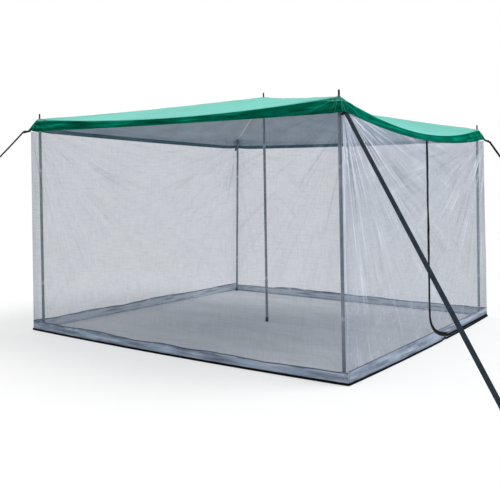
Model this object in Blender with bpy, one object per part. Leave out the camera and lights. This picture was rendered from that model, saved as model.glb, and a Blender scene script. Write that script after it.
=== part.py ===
# A mosquito net tent: a green canopy on four corner poles and a centre pole, net walls down to
# a groundsheet, and a door with an L-shaped zip. Lengths are in metres, with +Z up.
# The origin is on the underside of the groundsheet, midway between the feet of the corner poles.
# The front wall faces -Y and the door wall faces +X.

import math

import bmesh
import bpy
from mathutils import Matrix, Vector

# Plan and heights
foot_spacing = 3.0
door_side_lean_offset = 0.075
far_pole_lean_offset = 0.03
eave_height = 1.871
peak_rise_height = 0.258
peak_height = eave_height + peak_rise_height
centre_foot_offset = -0.08
centre_top_offset = -0.14
seat_gap = 0.0003

# Canopy
cloth_thickness = 0.003
eave_sag_depths = {"front": 0.063, "door": 0.135, "back": 0.06, "left": 0.055}
ridge_sag_depth = 0.012
canopy_flat_width = 0.014
canopy_fold_height = 0.004
valance_drop_height = 0.114
valance_end_height = eave_height - valance_drop_height
hem_sag_depths = {"front": 0.007, "door": 0.087, "back": 0.008, "left": 0.006}
hem_depth = 0.025
prow_reach_length = 0.085
prow_length = 0.2
crease_depth = 0.011
crease_pitch_length = 0.16
crease_run_length = 0.55

# Net walls, mud wall and groundsheet
net_reach_length = 0.055
sheet_overhang_width = 0.065
sheet_thickness = 0.003
sheet_corner_radius = 0.008
mudwall_height = 0.095
binding_height = 0.014
binding_thickness = 0.004
fold_depth = 0.011
fold_crest_distance = 0.55
fold_margin_width = 0.18

# Door
zip_corner_distance = 1.5
zip_low_height = 0.03
zip_bend_width = 0.45
zip_bend_height = 0.22
zip_tape_width = 0.013
zip_tape_thickness = 0.0015
chain_gap = 0.002
slider_parking_length = 0.07
slider_stop_gap = 0.003
door_hinge_gap = 0.0006
door_hinge_rise_height = 0.0005
flap_still_distance = 0.5

# Zip slider and its pull
slider_width = 0.011
slider_length = 0.022
slider_plate_thickness = 0.0018
slider_clearance = 0.0004
slider_post_width = 0.0012
slider_post_length = 0.006
bail_height = 0.005
bail_thickness = 0.0016
bail_leg_width = 0.002
pull_width = 0.007
pull_length = 0.034
pull_thickness = 0.0014
pull_clearance = 0.0006

# Poles
tube_radius = 0.012
tube_wall_thickness = 0.001
slim_tube_radius = 0.0095
spigot_length = 0.05
spigot_clearance = 0.0003
spigot_shoulder_length = 0.002
lower_tube_length = 0.42
upper_tube_length = 0.45
spike_radius = 0.0065
spike_above_height = 0.043
spike_tip_length = 0.003
spike_collar_height = 0.008
spike_plug_length = 0.02
cap_radius = 0.015
cap_height = 0.04
cap_base_thickness = 0.004
cap_bevel_width = 0.0015

# Eyelets
eyelet_hole_radius = 0.0072
eyelet_radius = 0.0128
eyelet_thickness = 0.0012
cutter_overrun_length = 0.02

# Ridge tapes, corner tabs and guys
tape_width = 0.016
tape_thickness = 0.001
tape_end_distance = 0.045
tape_gap = 0.0008
webbing_width = 0.025
webbing_thickness = 0.002
tab_thickness = 0.004
tab_inside_length = 0.034
tab_outside_length = 0.016
eye_radius = 0.012
eye_lap_length = 0.05
guy_bearings = {"front_left": 225, "front_right": -39, "back_right": 45}
guy_slopes = {"front_left": 47, "front_right": 40.3, "back_right": 49.5}
guy_twists = {"front_left": 24, "front_right": 30, "back_right": -24}
guy_lengths = {"front_left": 0.41, "front_right": 2.27, "back_right": 0.37}
guy_sag_depth = 0.004

# Counts
tube_sides = 14
round_sides = 12
crease_columns_shares = (0.35, 0.6, 0.8, 0.92)
roof_rings_shares = (0.2, 0.45, 0.72)
net_rows = 12
bend_steps = 8
flap_rows = 7
upper_rows = 7
upper_edge_steps = 6
flap_foot_steps = 9
zip_run_steps = 3
sheet_arc_steps = 4
pull_arc_steps = 5
fold_fan = 7
guy_steps = 8
eye_steps = 10

# Finishes: colour, roughness, metallic
finishes = {
    "canopy_cloth": ((0.02, 0.42, 0.31, 1), 0.45, 0),
    "net": ((0.62, 0.65, 0.69, 1), 0.8, 0),
    "mudwall_cloth": ((0.36, 0.43, 0.53, 1), 0.7, 0),
    "groundsheet_cloth": ((0.38, 0.39, 0.42, 1), 0.75, 0),
    "black_binding": ((0.012, 0.012, 0.014, 1), 0.8, 0),
    "webbing": ((0.03, 0.036, 0.046, 1), 0.75, 0),
    "zip_tape_cloth": ((0.012, 0.012, 0.014, 1), 0.7, 0),
    "zip_metal": ((0.05, 0.05, 0.055, 1), 0.35, 1),
    "pole_steel": ((0.36, 0.39, 0.4, 1), 0.35, 1),
    "black_plastic": ((0.01, 0.01, 0.012, 1), 0.5, 0),
    "eyelet_metal": ((0.55, 0.56, 0.55, 1), 0.3, 1),
    "seam_tape": ((0.5, 0.52, 0.53, 1), 0.6, 0),
}

# Corners run anticlockwise seen from above, and each side joins one corner to the next
half = foot_spacing / 2
corner_signs = {
    "front_left": Vector((-1, -1, 0)),
    "front_right": Vector((1, -1, 0)),
    "back_right": Vector((1, 1, 0)),
    "back_left": Vector((-1, 1, 0)),
}
sides = {
    "front": ("front_left", "front_right"),
    "door": ("front_right", "back_right"),
    "back": ("back_right", "back_left"),
    "left": ("back_left", "front_left"),
}
outwards = {
    "front": Vector((0, -1, 0)),
    "door": Vector((1, 0, 0)),
    "back": Vector((0, 1, 0)),
    "left": Vector((-1, 0, 0)),
}
up = Vector((0, 0, 1))
feet = {name: sign * half for name, sign in corner_signs.items()}
leans = {
    "front_left": Vector((0, 0, 0)),
    "front_right": Vector((door_side_lean_offset, 0, 0)),
    "back_right": Vector((door_side_lean_offset, far_pole_lean_offset, 0)),
    "back_left": Vector((0, 0, 0)),
}
tops = {name: feet[name] - leans[name] + up * eave_height for name in feet}
peak = Vector((centre_top_offset, 0, peak_height))

# The net's planes stand inside the edge of the groundsheet and meet the canopy at its hem
sheet_half = half + sheet_overhang_width
wall_half = sheet_half - cloth_thickness
wall_feet = {name: sign * wall_half for name, sign in corner_signs.items()}
wall_heads = {
    name: tops[name] + sign * net_reach_length + up * (valance_end_height - eave_height)
    for name, sign in corner_signs.items()
}
corner_gap = cloth_thickness / 2 + seat_gap
sheet_top = sheet_thickness + seat_gap


def clear_scene():
    for thing in list(bpy.data.objects):
        bpy.data.objects.remove(thing, do_unlink=True)


def material_for(finish):
    found = bpy.data.materials.get(finish)
    if found:
        return found
    colour, roughness, metallic = finishes[finish]
    made = bpy.data.materials.new(finish)
    made.use_nodes = True
    shader = made.node_tree.nodes["Principled BSDF"]
    shader.inputs["Base Color"].default_value = colour
    shader.inputs["Roughness"].default_value = roughness
    shader.inputs["Metallic"].default_value = metallic
    made.diffuse_color = colour
    return made


def add_object(name, bm, finish, smooth=False):
    mesh = bpy.data.meshes.new(name)
    bm.to_mesh(mesh)
    bm.free()
    if smooth:
        mesh.shade_smooth()
        mesh.set_sharp_from_angle(angle=math.radians(35))
    made = bpy.data.objects.new(name, mesh)
    bpy.context.scene.collection.objects.link(made)
    if finish:
        mesh.materials.append(material_for(finish))
    return made


# Shapes that many pieces share


def turned(name, profile, foot, head, finish, count=tube_sides):
    # Profile points are (radius, height), up the outside and back down the inside or the axis
    bm = bmesh.new()
    rings = []
    for radius, height in profile:
        turns = [math.tau * k / count for k in range(count)] if radius else [0]
        rings.append(
            [bm.verts.new((radius * math.cos(t), radius * math.sin(t), height)) for t in turns]
        )
    if profile[0][0]:
        rings.append(rings[0])
    for low, high in zip(rings, rings[1:]):
        for k in range(count):
            n = (k + 1) % count
            ring = [low[k % len(low)], low[n % len(low)], high[n % len(high)], high[k % len(high)]]
            bm.faces.new(list(dict.fromkeys(ring)))
    made = add_object(name, bm, finish, smooth=True)
    made.location = foot
    made.rotation_euler = (head - foot).to_track_quat("Z", "Y").to_euler()
    return made


def grid_mesh(rows, loops=False):
    # Rows of points become a sheet of quads; points that fall together become one
    bm = bmesh.new()
    made = {}

    def vertex(point):
        key = tuple(round(c, 6) for c in point)
        if key not in made:
            made[key] = bm.verts.new(point)
        return made[key]

    for low, high in zip(rows, rows[1:]):
        count = len(low)
        for k in range(count if loops else count - 1):
            n = (k + 1) % count
            corners = [vertex(low[k]), vertex(low[n]), vertex(high[n]), vertex(high[k])]
            corners = list(dict.fromkeys(corners))
            if len(corners) > 2:
                bm.faces.new(corners)
    return bm


def cloth_solid(name, rows, finish, thickness=cloth_thickness, offset=0, loops=False):
    made = add_object(name, grid_mesh(rows, loops), finish)
    solid = made.modifiers.new("thickness", "SOLIDIFY")
    solid.thickness = thickness
    solid.offset = offset
    return made


def ribbon(name, path, across, width, thickness, finish):
    # A flat strap along a path that lies in one plane, with its width square to that plane
    bm = bmesh.new()
    rings = []
    for k, point in enumerate(path):
        along = (path[min(k + 1, len(path) - 1)] - path[max(k - 1, 0)]).normalized()
        rise = across.cross(along)
        corners = ((-1, -1), (1, -1), (1, 1), (-1, 1))
        rings.append(
            [
                bm.verts.new(point + across * (width / 2 * a) + rise * (thickness / 2 * b))
                for a, b in corners
            ]
        )
    for low, high in zip(rings, rings[1:]):
        for k in range(4):
            n = (k + 1) % 4
            bm.faces.new((low[k], low[n], high[n], high[k]))
    bm.faces.new(rings[0][::-1])
    bm.faces.new(rings[-1])
    bmesh.ops.recalc_face_normals(bm, faces=bm.faces)
    return add_object(name, bm, finish)


def cut(target, cutter):
    cutter.hide_render = True
    cutter.display_type = "WIRE"
    made = target.modifiers.new("cut_" + cutter.name, "BOOLEAN")
    made.operation = "DIFFERENCE"
    made.solver = "EXACT"
    made.object = cutter


# Walls


def wall_point(side, share, height):
    first, second = sides[side]
    low = wall_feet[first].lerp(wall_feet[second], share)
    high = wall_heads[first].lerp(wall_heads[second], share)
    return low.lerp(high, height / valance_end_height)


def side_length(side):
    first, second = sides[side]
    return (wall_heads[second] - wall_heads[first]).length


def canopy_columns(side):
    # Places along a side, from -1 to 1, closer together where the corners crease the cloth
    first, second = sides[side]
    flat_share = canopy_flat_width / ((tops[second] - tops[first]).length / 2)
    right = [0, *crease_columns_shares, 1 - flat_share, 1]
    return [-n for n in reversed(right[1:])] + right


def bow(place, flat_share):
    # 1 at mid side and 0 at the corners, level over the last share of the way
    near = min(1, abs(place) / (1 - flat_share))
    return 1 - near**2


def hem_height_at_column(side, place):
    flat_share = 1 - crease_columns_shares[-1]
    return valance_end_height - hem_sag_depths[side] * bow(place, flat_share)


def hem_height(side, share):
    # The hem is straight between the canopy's columns, and so is what hangs from it
    place = 2 * share - 1
    columns = canopy_columns(side)
    for low, high in zip(columns, columns[1:]):
        if place <= high:
            part = max(0, (place - low) / (high - low))
            start, end = hem_height_at_column(side, low), hem_height_at_column(side, high)
            return start + (end - start) * part
    return valance_end_height


def fold_at(side, share, height):
    # Slack folds that fan out from the two pole tops and die away at the seams
    total = 0
    for end in (0, 1):
        across = abs(share - end) * side_length(side)
        down = valance_end_height - height
        reach = math.hypot(across, down)
        fan = math.sin(fold_fan * math.atan2(down, across) + end)
        total += fan * (reach / fold_crest_distance) * math.exp(1 - reach / fold_crest_distance)
    from_seam = min(
        share * side_length(side),
        (1 - share) * side_length(side),
        height - mudwall_height,
        hem_height(side, share) - height,
    )
    return fold_depth * total * min(1, max(0, from_seam) / fold_margin_width)


def net_wall(name, side):
    shares = [(n + 1) / 2 for n in canopy_columns(side)[1:-1]]
    middles = [(a + b) / 2 for a, b in zip(shares, shares[1:])]
    end_share = corner_gap / side_length(side)
    shares = sorted([end_share, *shares, *middles, 1 - end_share])
    rows = []
    for row in range(net_rows + 1):
        points = []
        for share in shares:
            low = mudwall_height + seat_gap
            high = hem_height(side, share) - seat_gap
            height = low + (high - low) * row / net_rows
            fold = outwards[side] * fold_at(side, share, height)
            points.append(wall_point(side, share, height) + fold)
        rows.append(points)
    return cloth_solid(name, rows, "net")


def mudwall(name, side):
    end_share = corner_gap / (2 * wall_half)
    rows = [
        [wall_point(side, share, height) for share in (end_share, 1 - end_share)]
        for height in (sheet_top, mudwall_height)
    ]
    return cloth_solid(name, rows, "mudwall_cloth")


# Groundsheet


def rounded_square(half_size, radius, height):
    points = []
    for name in sides:
        sign = corner_signs[sides[name][1]]
        centre = sign * (half_size - radius) + up * height
        start = math.atan2(sign.y, sign.x) - math.radians(45)
        for k in range(sheet_arc_steps + 1):
            turn = start + math.radians(90) * k / sheet_arc_steps
            points.append(centre + Vector((math.cos(turn), math.sin(turn), 0)) * radius)
    return points


def groundsheet():
    bm = bmesh.new()
    low = [bm.verts.new(p) for p in rounded_square(sheet_half, sheet_corner_radius, 0)]
    high = [
        bm.verts.new(p) for p in rounded_square(sheet_half, sheet_corner_radius, sheet_thickness)
    ]
    bm.faces.new(low[::-1])
    bm.faces.new(high)
    for k in range(len(low)):
        n = (k + 1) % len(low)
        bm.faces.new((low[k], low[n], high[n], high[k]))
    return add_object("groundsheet", bm, "groundsheet_cloth")


def hem_binding():
    # One strip of binding runs all the way round, outside the edge of the groundsheet
    bm = bmesh.new()
    rings = []
    inside = sheet_half + seat_gap
    for reach, height in (
        (binding_thickness, seat_gap),
        (binding_thickness, binding_height),
        (0, binding_height),
        (0, seat_gap),
    ):
        points = rounded_square(inside + reach, sheet_corner_radius + seat_gap + reach, height)
        rings.append([bm.verts.new(p) for p in points])
    for low, high in zip(rings, rings[1:] + rings[:1]):
        for k in range(len(low)):
            n = (k + 1) % len(low)
            bm.faces.new((low[k], low[n], high[n], high[k]))
    return add_object("hem_binding", bm, "black_binding")


# Canopy


def eave_point(side, place):
    first, second = sides[side]
    flat_share = canopy_flat_width / ((tops[second] - tops[first]).length / 2)
    point = tops[first].lerp(tops[second], (place + 1) / 2)
    return point - up * eave_sag_depths[side] * bow(place, flat_share)


def roof_point(side, place, ring_share):
    # Straight rays run from the peak to the eave, and the cloth sags between the ridges
    flat_share = canopy_flat_width / half
    level = min(1, max(0, (ring_share - flat_share) / (1 - 2 * flat_share)))
    edge = eave_point(side, place)
    point = peak.lerp(edge, ring_share)
    ridge = peak_height - (peak_height - eave_height) * level - ridge_sag_depth * 4 * level * (1 - level)
    point.z = ridge - (eave_height - edge.z) * level**1.5
    return point


def corner_pull(place):
    # 0 along most of a side, rising to 1 at the corner where the guy draws the cloth out
    from_corner = (1 - abs(place)) * half
    near = max(0, 1 - from_corner / prow_length)
    return near**1.5


def hem_point(side, place):
    share = (place + 1) / 2
    along = up.cross(outwards[side])
    pull = (prow_reach_length - net_reach_length) * corner_pull(place)
    point = wall_point(side, share, hem_height_at_column(side, place))
    point += outwards[side] * (pull + cloth_thickness / 2)
    if abs(place) > crease_columns_shares[-1]:
        point += along * math.copysign(pull + cloth_thickness / 2, place)
    return point


def crease(place):
    from_corner = (1 - abs(place)) * half
    fade = max(0, 1 - from_corner / crease_run_length)
    return crease_depth * fade * math.cos(math.tau * from_corner / crease_pitch_length)


def canopy():
    places = [(side, n) for side in sides for n in canopy_columns(side)[:-1]]
    flat_share = canopy_flat_width / half
    ring_shares = [0, flat_share, *roof_rings_shares, 1 - flat_share, 1]

    def ridge_column(n, ring):
        # The columns beside a ridge run along it until they reach the flat round the pole top
        beside = crease_columns_shares[-1] < abs(n) < 1 and ring < 1 - flat_share
        return math.copysign(1, n) if beside else n

    rows = [
        [roof_point(side, ridge_column(n, ring), ring) for side, n in places]
        for ring in ring_shares
    ]
    shoulder, middle, hem_top, hem = [], [], [], []
    for side, n in places:
        out = outwards[side]
        along = up.cross(out)
        edge = eave_point(side, n)
        flat = abs(n) > crease_columns_shares[-1]
        first = edge + out * canopy_flat_width - up * (0 if flat else canopy_fold_height)
        if abs(n) == 1:
            first += along * math.copysign(canopy_flat_width, n)
        last = hem_point(side, n)
        high = last + up * hem_depth
        rise = crease(n) if abs(n) < 1 else 0
        shoulder.append(first)
        middle.append(first.lerp(high, 0.5) + out * rise)
        hem_top.append(high + out * rise / 2)
        hem.append(last)
    rows += [shoulder, middle, hem_top, hem]
    made = cloth_solid("canopy", rows[::-1], "canopy_cloth", offset=-1, loops=True)
    bm = bmesh.new()
    for top in [*tops.values(), peak]:
        bmesh.ops.create_cone(
            bm,
            cap_ends=True,
            segments=round_sides,
            radius1=eyelet_hole_radius,
            radius2=eyelet_hole_radius,
            depth=2 * cutter_overrun_length,
            matrix=Matrix.Translation(top),
        )
    cut(made, add_object("eyelet_cutter", bm, None))
    return made


def eyelet(name, top):
    foot = top + up * seat_gap
    profile = [
        (eyelet_radius, 0),
        (eyelet_radius - eyelet_thickness, eyelet_thickness),
        (eyelet_hole_radius, eyelet_thickness),
        (eyelet_hole_radius, 0),
    ]
    return turned("eyelet_" + name, profile, foot, foot + up, "eyelet_metal", round_sides)


def ridge_tape(corner):
    # Seam tape under a ridge of the roof, from beside the corner pole to beside the centre pole
    after = next(key for key, ends in sides.items() if ends[0] == corner)
    before = next(key for key, ends in sides.items() if ends[1] == corner)
    inner = crease_columns_shares[-1]
    flat_share = canopy_flat_width / half
    end_share = tape_end_distance / (tops[corner] - peak).length
    rings = [flat_share, *roof_rings_shares, 1 - flat_share]

    def row_at(ring):
        middle = roof_point(after, -1, ring)
        row = [middle]
        for side, place in ((before, inner), (after, -inner)):
            beside = roof_point(side, place, ring)
            span = (beside.xy - middle.xy).length
            row.append(middle.lerp(beside, tape_width / 2 / span))
        return [row[2], row[0], row[1]]

    first, second = row_at(rings[0]), row_at(rings[1])
    beyond, last = row_at(rings[-2]), row_at(rings[-1])
    start = (end_share - rings[0]) / (rings[1] - rings[0])
    stop = (1 - end_share - rings[-2]) / (rings[-1] - rings[-2])
    rows = [[a.lerp(b, start) for a, b in zip(first, second)]]
    rows += [row_at(ring) for ring in roof_rings_shares]
    rows.append([a.lerp(b, stop) for a, b in zip(beyond, last)])
    drop = up * (cloth_thickness + tape_gap)
    rows = [[point - drop for point in row] for row in rows]
    return cloth_solid("ridge_tape_" + corner, rows, "seam_tape", tape_thickness, -1)


# Poles


def pole(name, foot, top, upper_radius):
    # The tubes plug together, a spiked plug closes the top and a cap closes the foot
    axis = (top - foot).normalized()
    tilt = math.acos(axis.z)
    base = foot + up * (sheet_top + cap_radius * math.sin(tilt))
    head_gap = cloth_thickness + seat_gap + upper_radius * math.sin(tilt)
    head = (top - up * head_gap - base).dot(axis)
    lower_joint, upper_joint = lower_tube_length, head - upper_tube_length
    end = base + axis
    bore = tube_radius - tube_wall_thickness
    spigot = bore - spigot_clearance

    cap_bore = tube_radius + seat_gap
    cap_profile = [
        (0, 0),
        (cap_radius - cap_bevel_width, 0),
        (cap_radius, cap_bevel_width),
        (cap_radius, cap_height),
        (cap_bore, cap_height),
        (cap_bore, cap_base_thickness),
        (0, cap_base_thickness),
    ]
    turned("foot_cap_" + name, cap_profile, base, end, "black_plastic")

    tube_foot = cap_base_thickness + seat_gap
    lower_profile = [
        (tube_radius, tube_foot),
        (tube_radius, lower_joint - seat_gap),
        (bore, lower_joint - seat_gap),
        (bore, tube_foot),
    ]
    turned("pole_lower_" + name, lower_profile, base, end, "pole_steel")

    def plug_in_tube(start, stop, radius):
        # A tube whose lower end is drawn in to a spigot that stands in the tube below
        return [
            (spigot, start - spigot_length),
            (spigot, start),
            (max(radius, spigot), start + spigot_shoulder_length),
            (max(radius, spigot), stop),
            (max(radius, spigot) - tube_wall_thickness, stop),
            (max(radius, spigot) - tube_wall_thickness, start + 2 * spigot_shoulder_length),
            (spigot - tube_wall_thickness, start + spigot_shoulder_length),
            (spigot - tube_wall_thickness, start - spigot_length),
        ]

    middle_profile = plug_in_tube(lower_joint, upper_joint - seat_gap, tube_radius)
    turned("pole_middle_" + name, middle_profile, base, end, "pole_steel")
    upper_end = head - spike_collar_height - seat_gap
    upper_profile = plug_in_tube(upper_joint, upper_end, upper_radius)
    turned("pole_upper_" + name, upper_profile, base, end, "pole_steel")

    plug = max(upper_radius, spigot) - tube_wall_thickness - spigot_clearance
    pin_end = head + cloth_thickness + spike_above_height
    spike_profile = [
        (0, upper_end - spike_plug_length),
        (plug, upper_end - spike_plug_length),
        (plug, upper_end + seat_gap),
        (upper_radius, upper_end + seat_gap),
        (upper_radius, head),
        (spike_radius, head),
        (spike_radius, pin_end - spike_tip_length),
        (spike_radius / 2, pin_end),
        (0, pin_end),
    ]
    turned("pole_spike_" + name, spike_profile, base, end, "black_plastic")


# Door


def door_point(along, height, depth=0):
    # A place on the door wall's plane, by its distance from the near corner and its height
    foot = wall_feet["front_right"]
    head = wall_heads["front_right"]
    x = foot.x + (head.x - foot.x) * height / valance_end_height
    return Vector((x + depth, foot.y + along, height))


def door_edge(end, height):
    # How far along the door wall its near (0) or far (1) edge stands at a height
    share = corner_gap / side_length("door")
    return wall_point("door", share if end == 0 else 1 - share, height).y - wall_feet["front_right"].y


def door_hem_height(along):
    first, second = sides["door"]
    place = wall_feet["front_right"].y + along
    length = wall_heads[second].y - wall_heads[first].y
    share = (place - wall_heads[first].y) / length
    return hem_height("door", min(1, max(0, share)))


zip_top = door_hem_height(zip_corner_distance) - seat_gap
hinge_high = Vector((zip_corner_distance, zip_top - slider_parking_length))
hinge_low = Vector((door_edge(1, zip_low_height), zip_low_height))
hinge_slope = (hinge_low.y - hinge_high.y) / (hinge_low.x - hinge_high.x)
edge_offset = zip_tape_width + seat_gap


def hinge_height(along):
    return hinge_high.y + hinge_slope * (along - hinge_high.x)


def hinge_along(height):
    return hinge_high.x + (height - hinge_high.y) / hinge_slope


def zip_line():
    # The middle of the zip's chain, down, round the bend and along the hem, with the way
    # from each place towards the flap
    places = [(Vector((zip_corner_distance, zip_top)), Vector((1, 0)))]
    bend_top = zip_low_height + zip_bend_height
    for k in range(zip_run_steps):
        height = hinge_high.y + (bend_top - hinge_high.y) * k / zip_run_steps
        places.append((Vector((zip_corner_distance, height)), Vector((1, 0))))
    for k in range(bend_steps + 1):
        turn = math.radians(90) * k / bend_steps
        across, drop = 1 - math.cos(turn), 1 - math.sin(turn)
        place = Vector(
            (zip_corner_distance + zip_bend_width * across, zip_low_height + zip_bend_height * drop)
        )
        way = Vector((zip_bend_width * math.sin(turn), -zip_bend_height * math.cos(turn)))
        way = Vector((-way.y, way.x)).normalized()
        places.append((place, way))
    places.append((hinge_low.copy(), Vector((0, 1))))
    return places


def line_at_height(points, height):
    # Where a line that runs down reaches a height, or its start where that is lower
    if height >= points[0].y:
        return points[0].copy()
    for high, low in zip(points, points[1:]):
        if high.y >= height >= low.y and high.y > low.y:
            return high.lerp(low, (high.y - height) / (high.y - low.y))
    return points[-1]


def offset_line(distance):
    return [place + way * distance for place, way in zip_line()]


def zip_tapes():
    inner = chain_gap / 2

    def tape_rows(lines):
        return [[door_point(p.x, p.y) for p in line] for line in lines]

    def strip(name, lines):
        return cloth_solid(name, tape_rows(lines), "zip_tape_cloth", zip_tape_thickness)

    strip("zip_tape_wall", [offset_line(-inner), offset_line(-zip_tape_width)])
    near, far = offset_line(inner)[1:], offset_line(zip_tape_width)[1:]
    for line in (near, far):
        line[0].y = hinge_height(line[0].x) - door_hinge_gap
        line[-1].x = hinge_along(line[-1].y + door_hinge_gap)
    strip("zip_tape_flap", [far, near])
    parked = hinge_high.y + door_hinge_gap
    ends = [Vector((zip_corner_distance + inner, 0)), Vector((zip_corner_distance + zip_tape_width, 0))]
    rows = [[Vector((p.x, height)) for p in ends] for height in (parked, zip_top)]
    strip("zip_tape_top", rows)


def door_fold(along, height):
    # Folds in the door wall stay clear of the fold line that the flap turns on
    share = along / (2 * wall_half)
    run = Vector((1, hinge_slope)).normalized()
    away = Vector((along, height)) - hinge_high
    from_hinge = abs(away.x * run.y - away.y * run.x)
    lines = offset_line(0)
    from_zip = abs(along - line_at_height(lines, height).x)
    still = min(1, from_hinge / flap_still_distance, from_zip / fold_margin_width)
    return fold_at("door", share, height) * still


def door_net(name, rows):
    points = []
    for row in rows:
        points.append([door_point(p.x, p.y, door_fold(p.x, p.y)) for p in row])
    return cloth_solid(name, points, "net")


def hem_stations(start, end):
    # Places along the door wall where the hem above it changes slope
    first, second = sides["door"]
    length = wall_heads[second].y - wall_heads[first].y
    shift = wall_heads[first].y - wall_feet["front_right"].y
    inner = [shift + (n + 1) / 2 * length for n in canopy_columns("door")]
    return [start, *[a for a in inner if start < a < end], end]


def door_side_net():
    # The lowest rows follow the bend of the zip, and the rest share the height up to the hem
    right = offset_line(-edge_offset)
    low = mudwall_height + seat_gap
    left_top = door_edge(0, valance_end_height)
    right_top = zip_corner_distance - edge_offset
    stations = hem_stations(left_top, right_top)
    stations = sorted(stations + [(a + b) / 2 for a, b in zip(stations, stations[1:])])
    bend_top = zip_low_height + zip_bend_height
    levels = [low] + [p.y for p in reversed(right) if low < p.y < bend_top]
    rows = []
    for row in range(len(levels) + net_rows):
        points = []
        for station in stations:
            part = (station - left_top) / (right_top - left_top)
            if row < len(levels):
                height = levels[row]
            else:
                high = door_hem_height(station) - seat_gap
                height = bend_top + (high - bend_top) * (row - len(levels)) / (net_rows - 1)
            near, far = door_edge(0, height), line_at_height(right, height).x
            points.append(Vector((near + (far - near) * part, height)))
        rows.append(points)
    return door_net("net_door_side", rows)


def fan_rows(inner, outer, count):
    return [[a.lerp(b, k / count) for a, b in zip(inner, outer)] for k in range(count + 1)]


def spread(start, end, lengths):
    total = sum(lengths)
    places, run = [start.copy()], 0
    for length in lengths:
        run += length
        places.append(start.lerp(end, run / total))
    return places


def door_upper_net():
    # The part of the door wall above the fold line, fanned out from that line
    left = zip_corner_distance + edge_offset
    top_far = door_edge(1, valance_end_height)
    line = [Vector((a, door_hem_height(a) - seat_gap)) for a in hem_stations(left, top_far)]
    high = line[-1].y
    low = zip_low_height + door_hinge_gap + seat_gap
    for k in range(1, upper_edge_steps + 1):
        height = high + (low - high) * k / upper_edge_steps
        line.append(Vector((door_edge(1, height), height)))
    start = Vector((left, hinge_height(left) + door_hinge_gap))
    lengths = [(b - a).length for a, b in zip(line, line[1:])]
    inner = spread(start, line[-1], lengths)
    return door_net("net_door_upper", fan_rows(inner, line, upper_rows))


def door_flap_net():
    low = mudwall_height + seat_gap
    edge = offset_line(edge_offset)[1:]
    edge[0].y = hinge_height(edge[0].x) - door_hinge_gap
    line = [p for p in edge if p.y > low] + [line_at_height(edge, low)]
    end = hinge_along(low + door_hinge_gap)
    start = line[-1].x
    for k in range(1, flap_foot_steps + 1):
        line.append(Vector((start + (end - start) * k / flap_foot_steps, low)))
    lengths = [(b - a).length for a, b in zip(line, line[1:])]
    inner = spread(line[0], line[-1], lengths)
    return door_net("net_door_flap", fan_rows(inner, line, flap_rows)[::-1])


def door_mudwalls():
    fixed_edge = offset_line(-edge_offset)
    shoulder = line_at_height(fixed_edge, mudwall_height)
    bend = [p for p in fixed_edge if p.y < mudwall_height]
    tops_line = [Vector((door_edge(0, mudwall_height), mudwall_height)), shoulder, *bend]
    feet_line = [Vector((p.x, sheet_top)) for p in tops_line]
    feet_line[0].x = door_edge(0, sheet_top)
    rows = [[door_point(p.x, p.y) for p in line] for line in (feet_line, tops_line)]
    cloth_solid("mudwall_door_side", rows, "mudwall_cloth")

    flap_edge = offset_line(edge_offset)
    start = line_at_height(flap_edge, mudwall_height)
    last = hinge_along(flap_edge[-1].y + door_hinge_gap)
    shoulder_along = hinge_along(mudwall_height + door_hinge_gap)
    low = [start] + [p for p in flap_edge if p.y < mudwall_height][:-1]
    low += [Vector((along, flap_edge[-1].y)) for along in (shoulder_along, last)]
    high = [Vector((p.x, min(mudwall_height, hinge_height(p.x) - door_hinge_gap))) for p in low]
    rows = [[door_point(p.x, p.y) for p in line] for line in (low, high)]
    cloth_solid("mudwall_door_flap", rows, "mudwall_cloth")


def box_between(bm, low, high):
    middle = (low + high) / 2
    size = high - low
    matrix = Matrix.Translation(middle) @ Matrix.Diagonal((*size, 1))
    bmesh.ops.create_cube(bm, size=1, matrix=matrix)


def zip_slider():
    # Two plates on a post that runs in the gap between the tapes, with a bail for the pull
    centre = zip_top - slider_stop_gap - slider_length / 2
    middle = door_point(zip_corner_distance, centre)
    reach = zip_tape_thickness / 2 + slider_clearance
    half_length = slider_length / 2
    parts = []

    def slab(label, low, high):
        bm = bmesh.new()
        box_between(bm, Vector(low), Vector(high))
        made = add_object(label, bm, "zip_metal")
        made.location = middle
        made.rotation_euler = (0, door_tilt(), 0)
        parts.append(made)
        return made

    wide = slider_width / 2
    outer = reach + slider_plate_thickness
    body = slab("zip_slider", (reach, -wide, -half_length), (outer, wide, half_length))
    slab("slider_back", (-outer, -wide, -half_length), (-reach, wide, half_length))
    post = slider_post_width / 2
    bite = slider_plate_thickness / 2
    slab(
        "slider_post",
        (-reach - bite, -post, half_length - slider_post_length),
        (reach + bite, post, half_length),
    )
    leg_out = outer + bail_height
    inner_half = pull_width / 2
    for place in (-1, 1):
        near, far = place * inner_half, place * (inner_half + bail_leg_width)
        slab(
            f"slider_bail_{place}",
            (outer - bite, min(near, far), -bail_thickness),
            (leg_out, max(near, far), bail_thickness),
        )
    slab(
        "slider_bail_bar",
        (leg_out - bail_thickness, -inner_half - bite, -bail_thickness / 2),
        (leg_out, inner_half + bite, bail_thickness / 2),
    )
    for extra in parts[1:]:
        joined = body.modifiers.new("join_" + extra.name, "BOOLEAN")
        joined.operation = "UNION"
        joined.solver = "EXACT"
        joined.object = extra
        extra.hide_render = True
        extra.display_type = "WIRE"
    return middle, leg_out


def door_tilt():
    # The door wall leans in at the top, so its own up is turned about Y by this angle
    foot, head = wall_feet["front_right"], wall_heads["front_right"]
    return math.atan2(head.x - foot.x, valance_end_height)


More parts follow.
